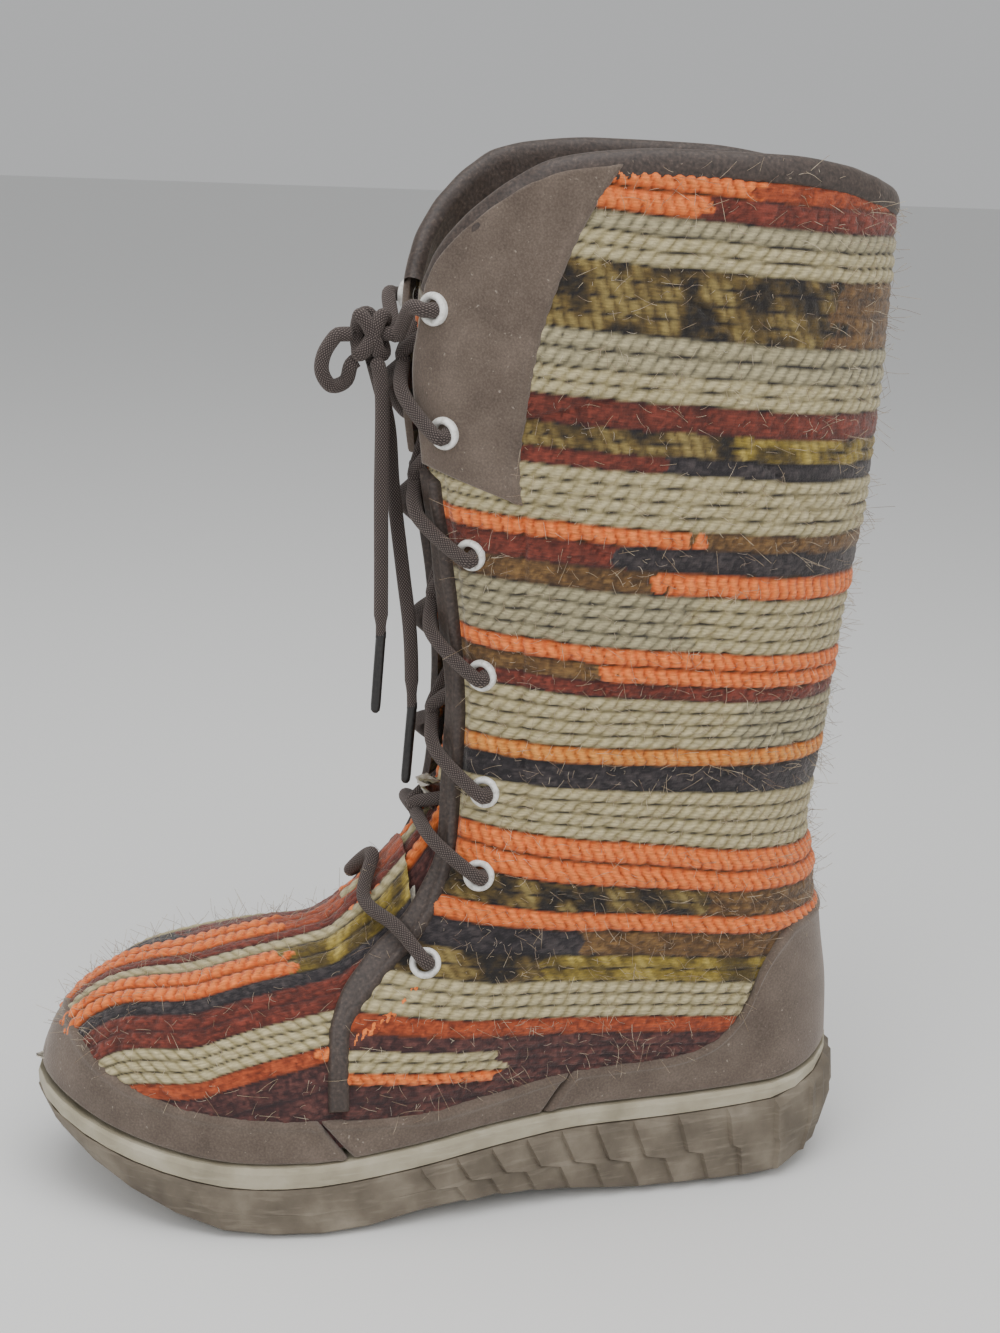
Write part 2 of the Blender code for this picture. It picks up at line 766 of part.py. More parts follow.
def lace_panel(name, side, material):
    """Suede panel beside the upper lacing, from the collar down to a slanted lower edge."""
    rows = []
    for height in (0.2555, 0.270, 0.284, 0.298, FRONT_CORNER_Z):
        share = (height - PANEL_LOW_FRONT_Z) / (FRONT_CORNER_Z - PANEL_LOW_FRONT_Z)
        rear_z = PANEL_LOW_REAR_Z + share * (PANEL_REAR[-1].z - 0.0012 - PANEL_LOW_REAR_Z)
        front = float(throat_x(height)) - 0.0002
        rear = float(along(PANEL_REAR, "z", "x", rear_z))
        x = np.linspace(rear, front, 10)
        collar = np.minimum(collar_z(x), 0.3565) - 0.0004
        across = (x - rear) / (front - rear)
        low = PANEL_LOW_REAR_Z + across * (PANEL_LOW_FRONT_Z - PANEL_LOW_REAR_Z)
        z = low + share * (collar - low)
        rows.append(skin(x, z, side))
    panel = shell(name, np.stack(rows), SEAT, OVERLAY, material, level=None)
    drill(panel, BORE_RADIUS)
    return panel


def quarter_binding(name, side, material):
    """Folded suede strip on the front edge of the quarter, below the lace panel."""
    z = np.concatenate([np.linspace(0.0465, 0.120, 12), np.linspace(0.134, 0.2535, 7)])
    width = 0.0040 + 0.0030 * ease((0.125 - z) / 0.030)
    rows = []
    for share in (0, 0.5, 1):
        x = throat_x(z) - width * (1 - share) - 0.0002
        rows.append(skin(x, z - 0.004 * (1 - share) * ease((z - 0.066) / 0.02), side))
    return shell(name, np.stack(rows), SEAT, BINDING, material)


def collar_binding(material):
    """Rolled facing on the top edge of the shaft, from front corner to front corner."""
    line = shaft_row(FRONT_CORNER_Z, QUARTER_COLUMNS)
    below = shaft_row(QUARTER_HEIGHTS[-2], QUARTER_COLUMNS)
    grid = np.stack([below, line])
    out = normals(grid)[1]
    upward = np.array([0.0, 0.0, 1.0]) - out * out[:, 2:3]
    forward = np.gradient(line, axis=0)
    rise = np.cross(out, forward)
    rise *= np.sign((rise * upward).sum(axis=1))[:, None]
    rise /= np.linalg.norm(rise, axis=1)[:, None]
    corners = ((-0.0042, SEAT), (0.0006, SEAT), (0.0006, 0.0018), (-0.0010, 0.0032), (-0.0030, 0.0032))
    vertices = []
    for spot, o, r in zip(line, out, rise):
        vertices += [spot + o * a + r * b for a, b in corners]
    n = len(corners)
    faces = [tuple(range(n)), tuple(range((len(line) - 1) * n, len(line) * n))]
    for k in range(len(line) - 1):
        for c in range(n):
            d = (c + 1) % n
            faces.append((k * n + c, k * n + d, (k + 1) * n + d, (k + 1) * n + c))
    return solid("collar_binding", vertices, faces, material)


TONGUE_DEPTH = 0.0098
HUMP_HALF_WIDTH = 0.0200
HUMP_HEIGHT = 0.0055


def tongue(material):
    """Padded tongue under the throat, proud between the flaps where it leaves the vamp."""
    stops = ((0.1010, 0.138), (0.1070, 0.1315), (0.1140, 0.125), (0.1230, 0.1182), (0.1340, 0.1123))
    z_up = np.linspace(0.152, TONGUE_TOP_Z, 6)
    path = [(x, z) for z, x in stops] + [(float(front_x(z)), z) for z in z_up]
    base = 1 - ease(np.arange(len(path)) / 6)
    rows = []
    for k, (x, z) in enumerate(path):
        before = np.array(path[max(k - 1, 0)])
        after = np.array(path[min(k + 1, len(path) - 1)])
        run = (after - before) / np.linalg.norm(after - before)
        inward = np.array([-abs(run[1]), -abs(run[0])])
        depth = np.linspace(0.0002, TONGUE_DEPTH + 0.006 * base[k], 60)
        xs = x + inward[0] * depth
        zs = z + inward[1] * depth
        line = np.concatenate([skin(xs, zs, 1)[::-1], skin(xs, zs, -1)])
        rows.append(spaced(line, 11))
    grid = np.stack(rows)
    run = np.linalg.norm(grid - grid[:, 5:6], axis=2)
    hump = np.clip(1 - (run / HUMP_HALF_WIDTH) ** 2, 0, 1)
    lift = HUMP_HEIGHT * base[:, None] * hump
    top = -(QUARTER_WALL + VAMP_DROP + GAP + 0.0004) + lift
    return shell("tongue", grid, top - TONGUE_WALL, top, material, level=None)


def ring_seat(spot, side):
    """Height over the skin on which an eyelet ring lies."""
    panel = OVERLAY if spot.z > PANEL_LOW_FRONT_Z else 0.0
    return panel + seat_height(spot, side) + 0.0010


def eyelet(name, spot, side, material):
    """Enamelled ring round a hole in the wall."""
    seat = ring_seat(spot, side)
    profile = (
        (EYELET_HOLE, seat),
        (EYELET_OUTER, seat),
        (0.5 * (EYELET_HOLE + EYELET_OUTER), seat + EYELET_RISE),
    )
    segments = 8
    vertices = []
    for k in range(segments):
        a = 2 * pi * k / segments
        vertices += [(r * cos(a), r * sin(a), z) for r, z in profile]
    n = len(profile)
    faces = []
    for k in range(segments):
        m = (k + 1) % segments
        for c in range(n):
            d = (c + 1) % n
            faces.append((k * n + c, k * n + d, m * n + d, m * n + c))
    obj = solid(name, vertices, faces, material)
    obj.data.transform(skin_frame(spot.x, spot.z, side, 0.0))
    return obj


def smooth_path(points, count, crowd=1.0):
    """Points spread along a smooth curve through the given ones."""
    points = [Vector(p) for p in points]
    points = [points[0] * 2 - points[1]] + points + [points[-1] * 2 - points[-2]]
    line = []
    for a, b, c, d in zip(points, points[1:], points[2:], points[3:]):
        for k in range(12):
            t = k / 12
            bend = (2 * a - 5 * b + 4 * c - d) * t * t + (3 * b - a - 3 * c + d) * t**3
            line.append(b + 0.5 * ((c - a) * t + bend))
    line.append(points[-2])
    return spaced(np.array(line), count, crowd)


def tube(name, points, radius, material, sides=6):
    """Solid tube along a line, with its rings turned as little as possible."""
    points = [Vector(p) for p in points]
    vertices = []
    up = Vector((0, 0, 1))
    for k, spot in enumerate(points):
        run = (points[min(k + 1, len(points) - 1)] - points[max(k - 1, 0)]).normalized()
        right = run.cross(up).normalized()
        up = right.cross(run)
        for n in range(sides):
            a = 2 * pi * n / sides
            vertices.append(spot + (right * cos(a) + up * sin(a)) * radius)
    faces = [tuple(range(sides)), tuple(range(len(vertices) - sides, len(vertices)))]
    for k in range(len(points) - 1):
        for n in range(sides):
            m = (n + 1) % sides
            faces.append((k * sides + n, k * sides + m, (k + 1) * sides + m, (k + 1) * sides + n))
    return solid(name, vertices, faces, material)


def over(x, z, side, lift):
    """A lace point held a distance off the skin."""
    return skin_frame(x, z, side, lift).translation


def throat_centre(z, lift):
    """A point in the middle of the throat, in front of the tongue."""
    x = float(front_x(z))
    return Vector((x + lift, float(middle_y(x)), z))


def over_eyelet(spot, side):
    """Where a lace's middle lies over an eyelet ring."""
    return over(spot.x, spot.z, side, ring_seat(spot, side) + EYELET_RISE + LACE_RADIUS + LACE_CLEAR)


EDGE_TOP = BINDING + LACE_RADIUS + LACE_CLEAR


def strand(low, high, side):
    """One lace run: out over its eyelet and the bound edge, then into the throat."""
    middle_z = 0.5 * (low.z + high.z)
    edge_z = low.z + 0.30 * (high.z - low.z)
    edge_x = float(throat_x(edge_z))
    gap = float(half_width(edge_x, edge_z, side))
    centre = throat_centre(middle_z, 0.0006)
    beyond = centre + Vector((-0.0002, -side * 0.10 * gap, 0.10 * (high.z - low.z)))
    crest = over(edge_x - 0.001, edge_z, side, EDGE_TOP + 0.0020)
    return smooth_path([over_eyelet(low, side), crest, centre, beyond], 6)


def lace_crossing(name, low, high, material):
    """The two runs that cross between one pair of eyelets and the next, joined."""
    body = tube(name, strand(low, high, 1), LACE_RADIUS, material)
    other = tube(name + "_other", strand(low, high, -1), LACE_RADIUS, material)
    boolean(body, other, "UNION")
    return body


def lace_bar(material):
    """The run across the foot of the lacing, outside both lowest eyelets."""
    low = EYELETS[-1]
    half = {}
    for side in (1, -1):
        half[side] = [
            over_eyelet(low, side),
            over(0.1215, 0.0985, side, EDGE_TOP + 0.0010),
            throat_centre(0.110, 0.0045) + Vector((0, side * 0.0135, -0.0045)),
        ]
    top = throat_centre(0.1165, 0.0050)
    route = half[1] + [top] + half[-1][::-1]
    return tube("lace_bar", smooth_path(route, 13), LACE_RADIUS, material)


KNOT_CENTRE = Vector((0.1345, 0.0020, 0.2965))
KNOT_RADII = Vector((0.0064, 0.0064, 0.0094))


def knot_port(direction):
    """The first two points of a lace that leaves the knot square to its surface."""
    way = Vector(direction).normalized()
    reach = 1 / Vector([w / r for w, r in zip(way, KNOT_RADII)]).length
    out = Vector([w / r**2 for w, r in zip(way, KNOT_RADII)]).normalized()
    start = KNOT_CENTRE + way * reach + out * 1.5 * LACE_CLEAR
    return [start, start + out * LACE_RADIUS]


def lace_knot(material):
    bm = bmesh.new()
    bmesh.ops.create_uvsphere(
        bm, u_segments=10, v_segments=6, radius=1,
        matrix=Matrix.Translation(KNOT_CENTRE) @ Matrix.Diagonal((*KNOT_RADII, 1)),
    )
    mesh = bpy.data.meshes.new("lace_knot")
    bm.to_mesh(mesh)
    bm.free()
    mesh.shade_smooth()
    mesh.materials.append(material)
    obj = bpy.data.objects.new("lace_knot", mesh)
    bpy.context.collection.objects.link(obj)


def lace_lead(name, side, material):
    """From a top eyelet to the knot."""
    top = EYELETS[0]
    frame = skin_frame(top.x, top.z, side, ring_seat(top, side))
    route = [
        over_eyelet(top, side),
        frame @ Vector((-side * 1.15 * EYELET_OUTER, 0, LACE_RADIUS + 2 * LACE_CLEAR)),
        *knot_port((-0.85, side * 0.42, 0.10))[::-1],
    ]
    return tube(name, smooth_path(route, 7), LACE_RADIUS, material)


def cord(name, points, material):
    """Round cord as a bevelled curve with closed ends."""
    curve = bpy.data.curves.new(name, "CURVE")
    curve.dimensions = "3D"
    curve.bevel_depth = LACE_RADIUS
    curve.bevel_resolution = 2
    curve.use_fill_caps = True
    spline = curve.splines.new("POLY")
    spline.points.add(len(points) - 1)
    for point, place in zip(spline.points, points):
        point.co = (*place, 1)
    curve.materials.append(material)
    obj = bpy.data.objects.new(name, curve)
    bpy.context.collection.objects.link(obj)


# Routes of the free laces from the knot: one loop ahead, and two ends that hang down
LOOP_ROUTE = (
    (0.1460, 0.0050, 0.2960),
    (0.1495, 0.0050, 0.2905),
    (0.1500, 0.0040, 0.2845),
    (0.1465, 0.0020, 0.2797),
    (0.1415, 0.0000, 0.2810),
)
FreeEnd = namedtuple("FreeEnd", "leaves route tip")
FREE_ENDS = (
    FreeEnd(
        (-0.16, 0.28, -0.81),
        (
            (0.1305, 0.0070, 0.2745),
            (0.1300, 0.0070, 0.2470),
            (0.1290, 0.0065, 0.2185),
            (0.1283, 0.0060, 0.1965),
        ),
        (0.1294, 0.0060, 0.1700),
    ),
    FreeEnd(
        (-0.16, -0.28, -0.81),
        (
            (0.1268, -0.0010, 0.2670),
            (0.1245, -0.0010, 0.2460),
            (0.1203, 0.0000, 0.2170),
            (0.1172, 0.0010, 0.1950),
            (0.1158, 0.0015, 0.1700),
        ),
        (0.1175, 0.0030, 0.1435),
    ),
)


def free_laces(material, plastic):
    """Loop, hanging ends and their tips."""
    first = knot_port((0.9, 0.28, 0.02))
    last = knot_port((0.36, -0.02, -0.81))[::-1]
    cord("lace_loop", smooth_path([*first, *LOOP_ROUTE, *last], 11), material)
    for number, end in enumerate(FREE_ENDS, 1):
        line = smooth_path([*knot_port(end.leaves), *end.route], 11, crowd=1.5)
        cord("lace_end_%d" % number, line, material)
        start = Vector(end.route[-1])
        tip = Vector(end.tip)
        start += (tip - start).normalized() * GAP
        tube("lace_tip_%d" % number, [start, tip], TIP_RADIUS, plastic, sides=8)


def main():
    for obj in list(bpy.data.objects):
        bpy.data.objects.remove(obj)
    rubber = paint("taupe rubber", (0.14, 0.11, 0.085), 0.7)
    stone = paint("stone rubber", (0.36, 0.32, 0.23), 0.6)
    knit = paint("wool knit", (0.22, 0.14, 0.05), 0.95)
    suede = paint("brown suede", (0.10, 0.07, 0.052), 0.9)
    binding = paint("brown binding", (0.06, 0.045, 0.038), 0.8)
    fleece = paint("pale fleece", (0.70, 0.67, 0.60), 1.0)
    enamel = paint("white enamel", (0.80, 0.80, 0.78), 0.3)
    lace = paint("brown lace", (0.075, 0.052, 0.045), 0.85)
    plastic = paint("black plastic", (0.01, 0.01, 0.01), 0.4)
    outsole(rubber)
    midsole(stone)
    insole(fleece)
    upper(knit)
    tongue(knit)
    toe_rand(suede)
    heel_counter(suede)
    for word, side in (("lateral", 1), ("medial", -1)):
        side_rand("side_rand_" + word, side, suede)
        lace_panel("lace_panel_" + word, side, suede)
        quarter_binding("quarter_binding_" + word, side, binding)
        for number, spot in enumerate(EYELETS, 1):
            eyelet("eyelet_%s_%d" % (word, number), spot, side, enamel)
        lace_lead("lace_lead_" + word, side, lace)
    collar_binding(binding)
    lace_bar(lace)
    for number in range(1, 6):
        lace_crossing("lace_crossing_%d" % number, EYELETS[number], EYELETS[number - 1], lace)
    lace_knot(lace)
    free_laces(lace, plastic)


main()
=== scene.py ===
"""Looks of the knee-low knit winter boot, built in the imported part's own frame, in metres."""

from collections import namedtuple
from math import cos, pi, radians, sin

import bmesh
import bpy
import numpy as np
from mathutils import Matrix, Vector


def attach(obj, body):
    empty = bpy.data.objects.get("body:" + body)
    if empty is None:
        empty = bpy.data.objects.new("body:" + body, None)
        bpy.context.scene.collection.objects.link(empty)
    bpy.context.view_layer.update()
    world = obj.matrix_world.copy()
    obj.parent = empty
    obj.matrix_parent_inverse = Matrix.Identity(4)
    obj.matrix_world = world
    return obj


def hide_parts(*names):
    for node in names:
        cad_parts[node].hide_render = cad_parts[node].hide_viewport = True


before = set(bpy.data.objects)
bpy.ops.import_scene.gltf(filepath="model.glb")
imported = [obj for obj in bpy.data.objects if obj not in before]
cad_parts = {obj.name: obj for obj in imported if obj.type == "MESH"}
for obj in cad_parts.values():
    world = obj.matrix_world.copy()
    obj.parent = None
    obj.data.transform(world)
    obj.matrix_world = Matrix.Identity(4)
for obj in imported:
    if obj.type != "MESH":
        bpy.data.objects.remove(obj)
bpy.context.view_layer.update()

# Camera. It looks at the outer side of the boot from a little ahead of the heel line,
# from above the ankle, with the whole boot upright in the frame.
EYE = Vector((0.260, 0.676, 0.381))
YAW, PITCH, ROLL = radians(14.5), radians(15.8), radians(2.8)
LENS_MM = 57.1

ahead = Vector((-sin(YAW) * cos(PITCH), -cos(YAW) * cos(PITCH), -sin(PITCH)))
level_right = ahead.cross(Vector((0, 0, 1))).normalized()
level_up = level_right.cross(ahead)
right = level_right * cos(ROLL) + level_up * sin(ROLL)
up = level_up * cos(ROLL) - level_right * sin(ROLL)
camera_data = bpy.data.cameras.new("photo_view")
camera_data.sensor_fit = "VERTICAL"
camera_data.sensor_height = 36
camera_data.lens = LENS_MM
camera_data.clip_start = 0.01
camera = bpy.data.objects.new("photo_view", camera_data)
camera.matrix_world = Matrix.Translation(EYE) @ Matrix((right, up, -ahead)).transposed().to_4x4()
bpy.context.collection.objects.link(camera)
bpy.context.scene.camera = camera

# Free laces. A round braided cord tied in front of the throat, with one loop that stands
# ahead of the knot and two ends that hang down the tongue, closed with plastic tips.
LACE_RADIUS = 0.0024
LACE_CLEAR = 0.0006
TIP_RADIUS = 0.0017
TIP_GAP = 0.0003
LACE_SIDES = 14
BRAID_PITCH = 0.0026
KNOT_CENTRE = Vector((0.1345, 0.0020, 0.2965))
KNOT_RADII = Vector((0.0064, 0.0064, 0.0094))
LOOP_LEAVES = (0.9, 0.28, 0.02)
LOOP_RETURNS = (0.36, -0.02, -0.81)
LOOP_ROUTE = (
    (0.1460, 0.0050, 0.2960),
    (0.1495, 0.0050, 0.2905),
    (0.1500, 0.0040, 0.2845),
    (0.1465, 0.0020, 0.2797),
    (0.1415, 0.0000, 0.2810),
)
FreeEnd = namedtuple("FreeEnd", "leaves route tip")
FREE_ENDS = (
    FreeEnd(
        (-0.16, 0.28, -0.81),
        (
            (0.1305, 0.0070, 0.2745),
            (0.1300, 0.0070, 0.2470),
            (0.1290, 0.0065, 0.2185),
            (0.1283, 0.0060, 0.1965),
        ),
        (0.1294, 0.0060, 0.1700),
    ),
    FreeEnd(
        (-0.16, -0.28, -0.81),
        (
            (0.1268, -0.0010, 0.2670),
            (0.1245, -0.0010, 0.2460),
            (0.1203, 0.0000, 0.2170),
            (0.1172, 0.0010, 0.1950),
            (0.1158, 0.0015, 0.1700),
        ),
        (0.1175, 0.0030, 0.1435),
    ),
)


def tint(red, green, blue):
    """Linear colour from a paint chip's 0 to 255 values."""
    chip = np.array([red, green, blue]) / 255
    return np.where(chip <= 0.04045, chip / 12.92, ((chip + 0.055) / 1.055) ** 2.4)


def finish_node(material, kind, **inputs):
    """A shader node with its sockets set: a tuple (node, output) links, and the rest are values."""
    node = material.node_tree.nodes.new(kind)
    for name, value in inputs.items():
        socket = name.replace("_", " ")
        if isinstance(value, tuple) and isinstance(value[0], bpy.types.Node):
            material.node_tree.links.new(value[0].outputs[value[1]], node.inputs[socket])
        else:
            node.inputs[socket].default_value = value
    return node


def new_finish(name, roughness, sheen=0.0, sheen_tint=(1, 1, 1)):
    """A node material with its Principled shader's plain values set."""
    material = bpy.data.materials.new(name)
    material.use_nodes = True
    shader = material.node_tree.nodes["Principled BSDF"]
    shader.inputs["Roughness"].default_value = roughness
    shader.inputs["Sheen Weight"].default_value = sheen
    shader.inputs["Sheen Roughness"].default_value = 0.5
    shader.inputs["Sheen Tint"].default_value = (*sheen_tint, 1)
    return material, shader


def shades(material, factor, stops):
    """A colour ramp over a factor, with stops of place and linear colour."""
    ramp = material.node_tree.nodes.new("ShaderNodeValToRGB")
    while len(ramp.color_ramp.elements) < len(stops):
        ramp.color_ramp.elements.new(0.5)
    for element, (place, colour) in zip(ramp.color_ramp.elements, stops):
        element.position = place
        element.color = (*colour, 1)
    material.node_tree.links.new(factor[0].outputs[factor[1]], ramp.inputs["Fac"])
    return ramp


def raise_surface(material, shader, height, strength, distance):
    """A bump from a height output into the shader's normal."""
    bump = finish_node(material, "ShaderNodeBump", Strength=strength, Distance=distance, Height=height)
    material.node_tree.links.new(bump.outputs["Normal"], shader.inputs["Normal"])


def braid_finish():
    """Dark brown braided cord: diagonal strands both ways, from the UV along and round it, with painted shade
    in the grooves and painted highlight on the strand crowns.
    """
    material, shader = new_finish("brown braided cord", 0.85, 0.25, (0.6, 0.5, 0.45))
    uv = finish_node(material, "ShaderNodeTexCoord")
    heights = []
    for turn in (1, -1):
        mapping = finish_node(material, "ShaderNodeMapping", Vector=(uv, "UV"))
        mapping.inputs["Rotation"].default_value = (0, 0, turn * radians(38))
        wave = finish_node(material, "ShaderNodeTexWave", Vector=(mapping, "Vector"), Scale=1.1,
                           Distortion=0.6)
        heights.append(wave)
    both = finish_node(material, "ShaderNodeMath")
    both.operation = "MULTIPLY"
    for slot, wave in enumerate(heights):
        material.node_tree.links.new(wave.outputs["Fac"], both.inputs[slot])
    # Painted shade and highlight: the strand height that drives the bump also darkens the grooves and
    # lightens the crowns
    stops = ((0, tint(38, 30, 28)), (0.5, tint(86, 74, 70)), (1, tint(128, 116, 110)))
    ramp = shades(material, (both, 0), stops)
    material.node_tree.links.new(ramp.outputs["Color"], shader.inputs["Base Color"])
    raise_surface(material, shader, (both, 0), 0.7, 0.0006)
    return material


def plastic_finish():
    """Black lace tip with fine moulding marks."""
    material, shader = new_finish("black lace tip", 0.35)
    place = finish_node(material, "ShaderNodeTexCoord")
    noise = finish_node(material, "ShaderNodeTexNoise", Vector=(place, "Object"), Scale=900.0, Detail=3.0)
    ramp = shades(material, (noise, "Fac"), ((0.3, tint(16, 15, 15)), (0.8, tint(44, 40, 38))))
    material.node_tree.links.new(ramp.outputs["Color"], shader.inputs["Base Color"])
    raise_surface(material, shader, (noise, "Fac"), 0.2, 0.0002)
    return material


lace_cord = braid_finish()
lace_tip_plastic = plastic_finish()


def placed_grid(name, places, uv, material, inside=None, closed=False):
    """A sheet of square faces with its corners at the given places and UVs.

    An open sheet turns its faces away from the inside points; a closed one has its two
    long edges merged.
    """
    rows, columns = places.shape[:2]
    bm = bmesh.new()
    bmesh.ops.create_grid(bm, x_segments=columns - 1, y_segments=rows - 1, size=1)
    mesh = bpy.data.meshes.new(name)
    bm.to_mesh(mesh)
    mesh.vertices.foreach_set("co", np.ascontiguousarray(places, np.float32).ravel())
    corners = np.empty(len(mesh.loops), np.int32)
    mesh.loops.foreach_get("vertex_index", corners)
    layer = mesh.uv_layers.new(name="cloth")
    layer.data.foreach_set("uv", np.asarray(uv, np.float32).reshape(-1, 2)[corners].ravel())
    mesh.update()
    if inside is not None:
        facing = np.cross(np.gradient(places, axis=1), np.gradient(places, axis=0))
        if (facing * (places - inside)).sum() < 0:
            mesh.flip_normals()
    bm.clear()
    if closed:
        bm.from_mesh(mesh)
        bmesh.ops.remove_doubles(bm, verts=bm.verts, dist=1e-7)
        bmesh.ops.holes_fill(bm, edges=bm.edges, sides=0)
        bmesh.ops.recalc_face_normals(bm, faces=bm.faces)
        bm.to_mesh(mesh)
    bm.free()
    mesh.shade_smooth()
    mesh.materials.append(material)
    obj = bpy.data.objects.new(name, mesh)
    bpy.context.collection.objects.link(obj)
    return obj


def spaced(points, count, crowd=1.0):
    """The same line with its points spread evenly, or crowded towards its start."""
    run = np.concatenate([[0], np.cumsum(np.linalg.norm(np.diff(points, axis=0), axis=1))])
    at = run[-1] * np.linspace(0, 1, count) ** crowd
    return np.stack([np.interp(at, run, points[:, k]) for k in range(3)], axis=-1)


def smooth_path(points, count, crowd=1.0):
    """Points spread along a smooth curve through the given ones."""
    points = [Vector(p) for p in points]
    points = [points[0] * 2 - points[1]] + points + [points[-1] * 2 - points[-2]]
    line = []
    for a, b, c, d in zip(points, points[1:], points[2:], points[3:]):
        for k in range(12):
            t = k / 12
            bend = (2 * a - 5 * b + 4 * c - d) * t * t + (3 * b - a - 3 * c + d) * t**3
            line.append(b + 0.5 * ((c - a) * t + bend))
    line.append(points[-2])
    return spaced(np.array(line), count, crowd)


def cord_tube(name, line, radius, material, pitch=BRAID_PITCH, sides=LACE_SIDES):
    """A round cord along a line, with closed ends; its UV counts braid pitches along it."""
    line = np.asarray(line, float)
    run = np.concatenate([[0], np.cumsum(np.linalg.norm(np.diff(line, axis=0), axis=1))])
    ahead_of = np.gradient(line, axis=0)
    ahead_of /= np.linalg.norm(ahead_of, axis=1)[:, None]
    side = np.cross(ahead_of[0], (0.1, 0.2, 1.0))
    angle = np.linspace(0, 2 * pi, sides + 1)
    width = np.broadcast_to(radius, len(line))
    rings = []
    for spot, way, thick in zip(line, ahead_of, width):
        side = side - way * side.dot(way)
        side /= np.linalg.norm(side)
        over_side = np.cross(way, side)
        rings.append(spot + thick * (np.cos(angle)[:, None] * side + np.sin(angle)[:, None] * over_side))
    uv = np.stack(np.meshgrid(angle / (2 * pi) * 6, run / pitch), axis=-1)
    return placed_grid(name, np.stack(rings), uv, material, closed=True)


def knot_port(direction):
    """The first two points of a lace that leaves the knot square to its surface."""
    way = Vector(direction).normalized()
    reach = 1 / Vector([w / r for w, r in zip(way, KNOT_RADII)]).length
    out = Vector([w / r**2 for w, r in zip(way, KNOT_RADII)]).normalized()
    start = KNOT_CENTRE + way * reach + out * 1.5 * LACE_CLEAR
    return [start, start + out * LACE_RADIUS]


def run_length(line):
    return float(np.linalg.norm(np.diff(np.asarray(line), axis=0), axis=1).sum())


def ride_as(piece, slot, *nodes):
    """Every piece of the boot rides on its one body and hides the CAD nodes it stands for; the slot is not
    used.
    """
    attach(piece, "root")
    if nodes:
        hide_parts(*nodes)
    return piece


# The knot: two wraps of the cord over a third, drawn tight into the room of its CAD solid
def knot_line(count):
    turn = np.linspace(0, 1, count)
    angle = 2 * pi * 2 * turn
    x = 0.0042 * np.cos(angle) * (1 - 0.15 * np.cos(3 * angle))
    y = 0.0040 * np.sin(angle)
    z = 0.0062 * np.sin(1.5 * angle + 0.6)
    return np.array(KNOT_CENTRE) + np.stack([x, y, z], axis=-1)


lace_knot = ride_as(cord_tube("tied_knot", knot_line(90), LACE_RADIUS * 1.02, lace_cord),
                    "lace", "lace_knot")
loop_points = [*knot_port(LOOP_LEAVES), *LOOP_ROUTE, *knot_port(LOOP_RETURNS)[::-1]]
loop_line = smooth_path(loop_points, 40)
lace_loop = ride_as(cord_tube("tied_loop", loop_line, LACE_RADIUS, lace_cord), "lace", "lace_loop")
for number, end in enumerate(FREE_ENDS, 1):
    tip_start = Vector(end.route[-1])
    tip_way = (Vector(end.tip) - tip_start).normalized()
    tip_line = [tip_start + tip_way * TIP_GAP * k for k in (-6, 1, 2)]
    tip_line += [tip_start.lerp(Vector(end.tip), share) for share in (0.3, 0.6, 0.9, 0.97, 1)]
    tip_widths = TIP_RADIUS * np.array([1, 1.06, 1, 1, 1, 1, 0.9, 0.5])
    tip = cord_tube("hanging_tip_%d" % number, tip_line, tip_widths, lace_tip_plastic)
    ride_as(tip, "lace_tip", "lace_tip_%d" % number)
    end_line = smooth_path([*knot_port(end.leaves), *end.route], 60, crowd=1.2)
    widths = LACE_RADIUS * np.clip((61 - np.arange(60)) / 6, 0.72, 1)
    hanging = cord_tube("hanging_end_%d" % number, end_line, widths, lace_cord)
    ride_as(hanging, "lace", "lace_end_%d" % number)

# Knit quarters. The shaft and both quarters are one wool knit, in rows of twisted rope,
# bobbled chenille, mohair and tweed yarns that run round the leg and fall to the back.
Level = namedtuple("Level", "z back half_width back_round front_round")
LEVELS = (
    Level(0.020, -0.0400, 0.0370, 0.034, 0.078),
    Level(0.040, -0.0415, 0.0370, 0.035, 0.078),
    Level(0.062, -0.0405, 0.0370, 0.036, 0.074),
    Level(0.090, -0.0360, 0.0370, 0.040, 0.064),
    Level(0.112, -0.0325, 0.0370, 0.045, 0.059),
    Level(0.130, -0.0290, 0.0370, 0.048, 0.057),
    Level(0.150, -0.0315, 0.0370, 0.050, 0.056),
    Level(0.200, -0.0355, 0.0380, 0.056, 0.060),
    Level(0.250, -0.0410, 0.0400, 0.062, 0.064),
    Level(0.310, -0.0425, 0.0410, 0.066, 0.066),
    Level(0.365, -0.0410, 0.0420, 0.068, 0.068),
)
Front = namedtuple("Front", "z x")
FRONT = (
    Front(0.020, 0.2385), Front(0.042, 0.2385), Front(0.052, 0.2360), Front(0.060, 0.2310),
    Front(0.068, 0.2230), Front(0.075, 0.2130), Front(0.081, 0.2010), Front(0.085, 0.1870),
    Front(0.0885, 0.1720), Front(0.0915, 0.1570), Front(0.095, 0.1450), Front(0.102, 0.1370),
    Front(0.110, 0.1280), Front(0.120, 0.1200), Front(0.132, 0.1130), Front(0.146, 0.1090),
    Front(0.165, 0.1075), Front(0.190, 0.1075), Front(0.215, 0.1100), Front(0.240, 0.1150),
    Front(0.262, 0.1190), Front(0.290, 0.1220), Front(0.320, 0.1230), Front(0.365, 0.1230),
)
VAMP_ROWS = slice(1, 14)
Station = namedtuple("Station", "x outer inner middle dome")
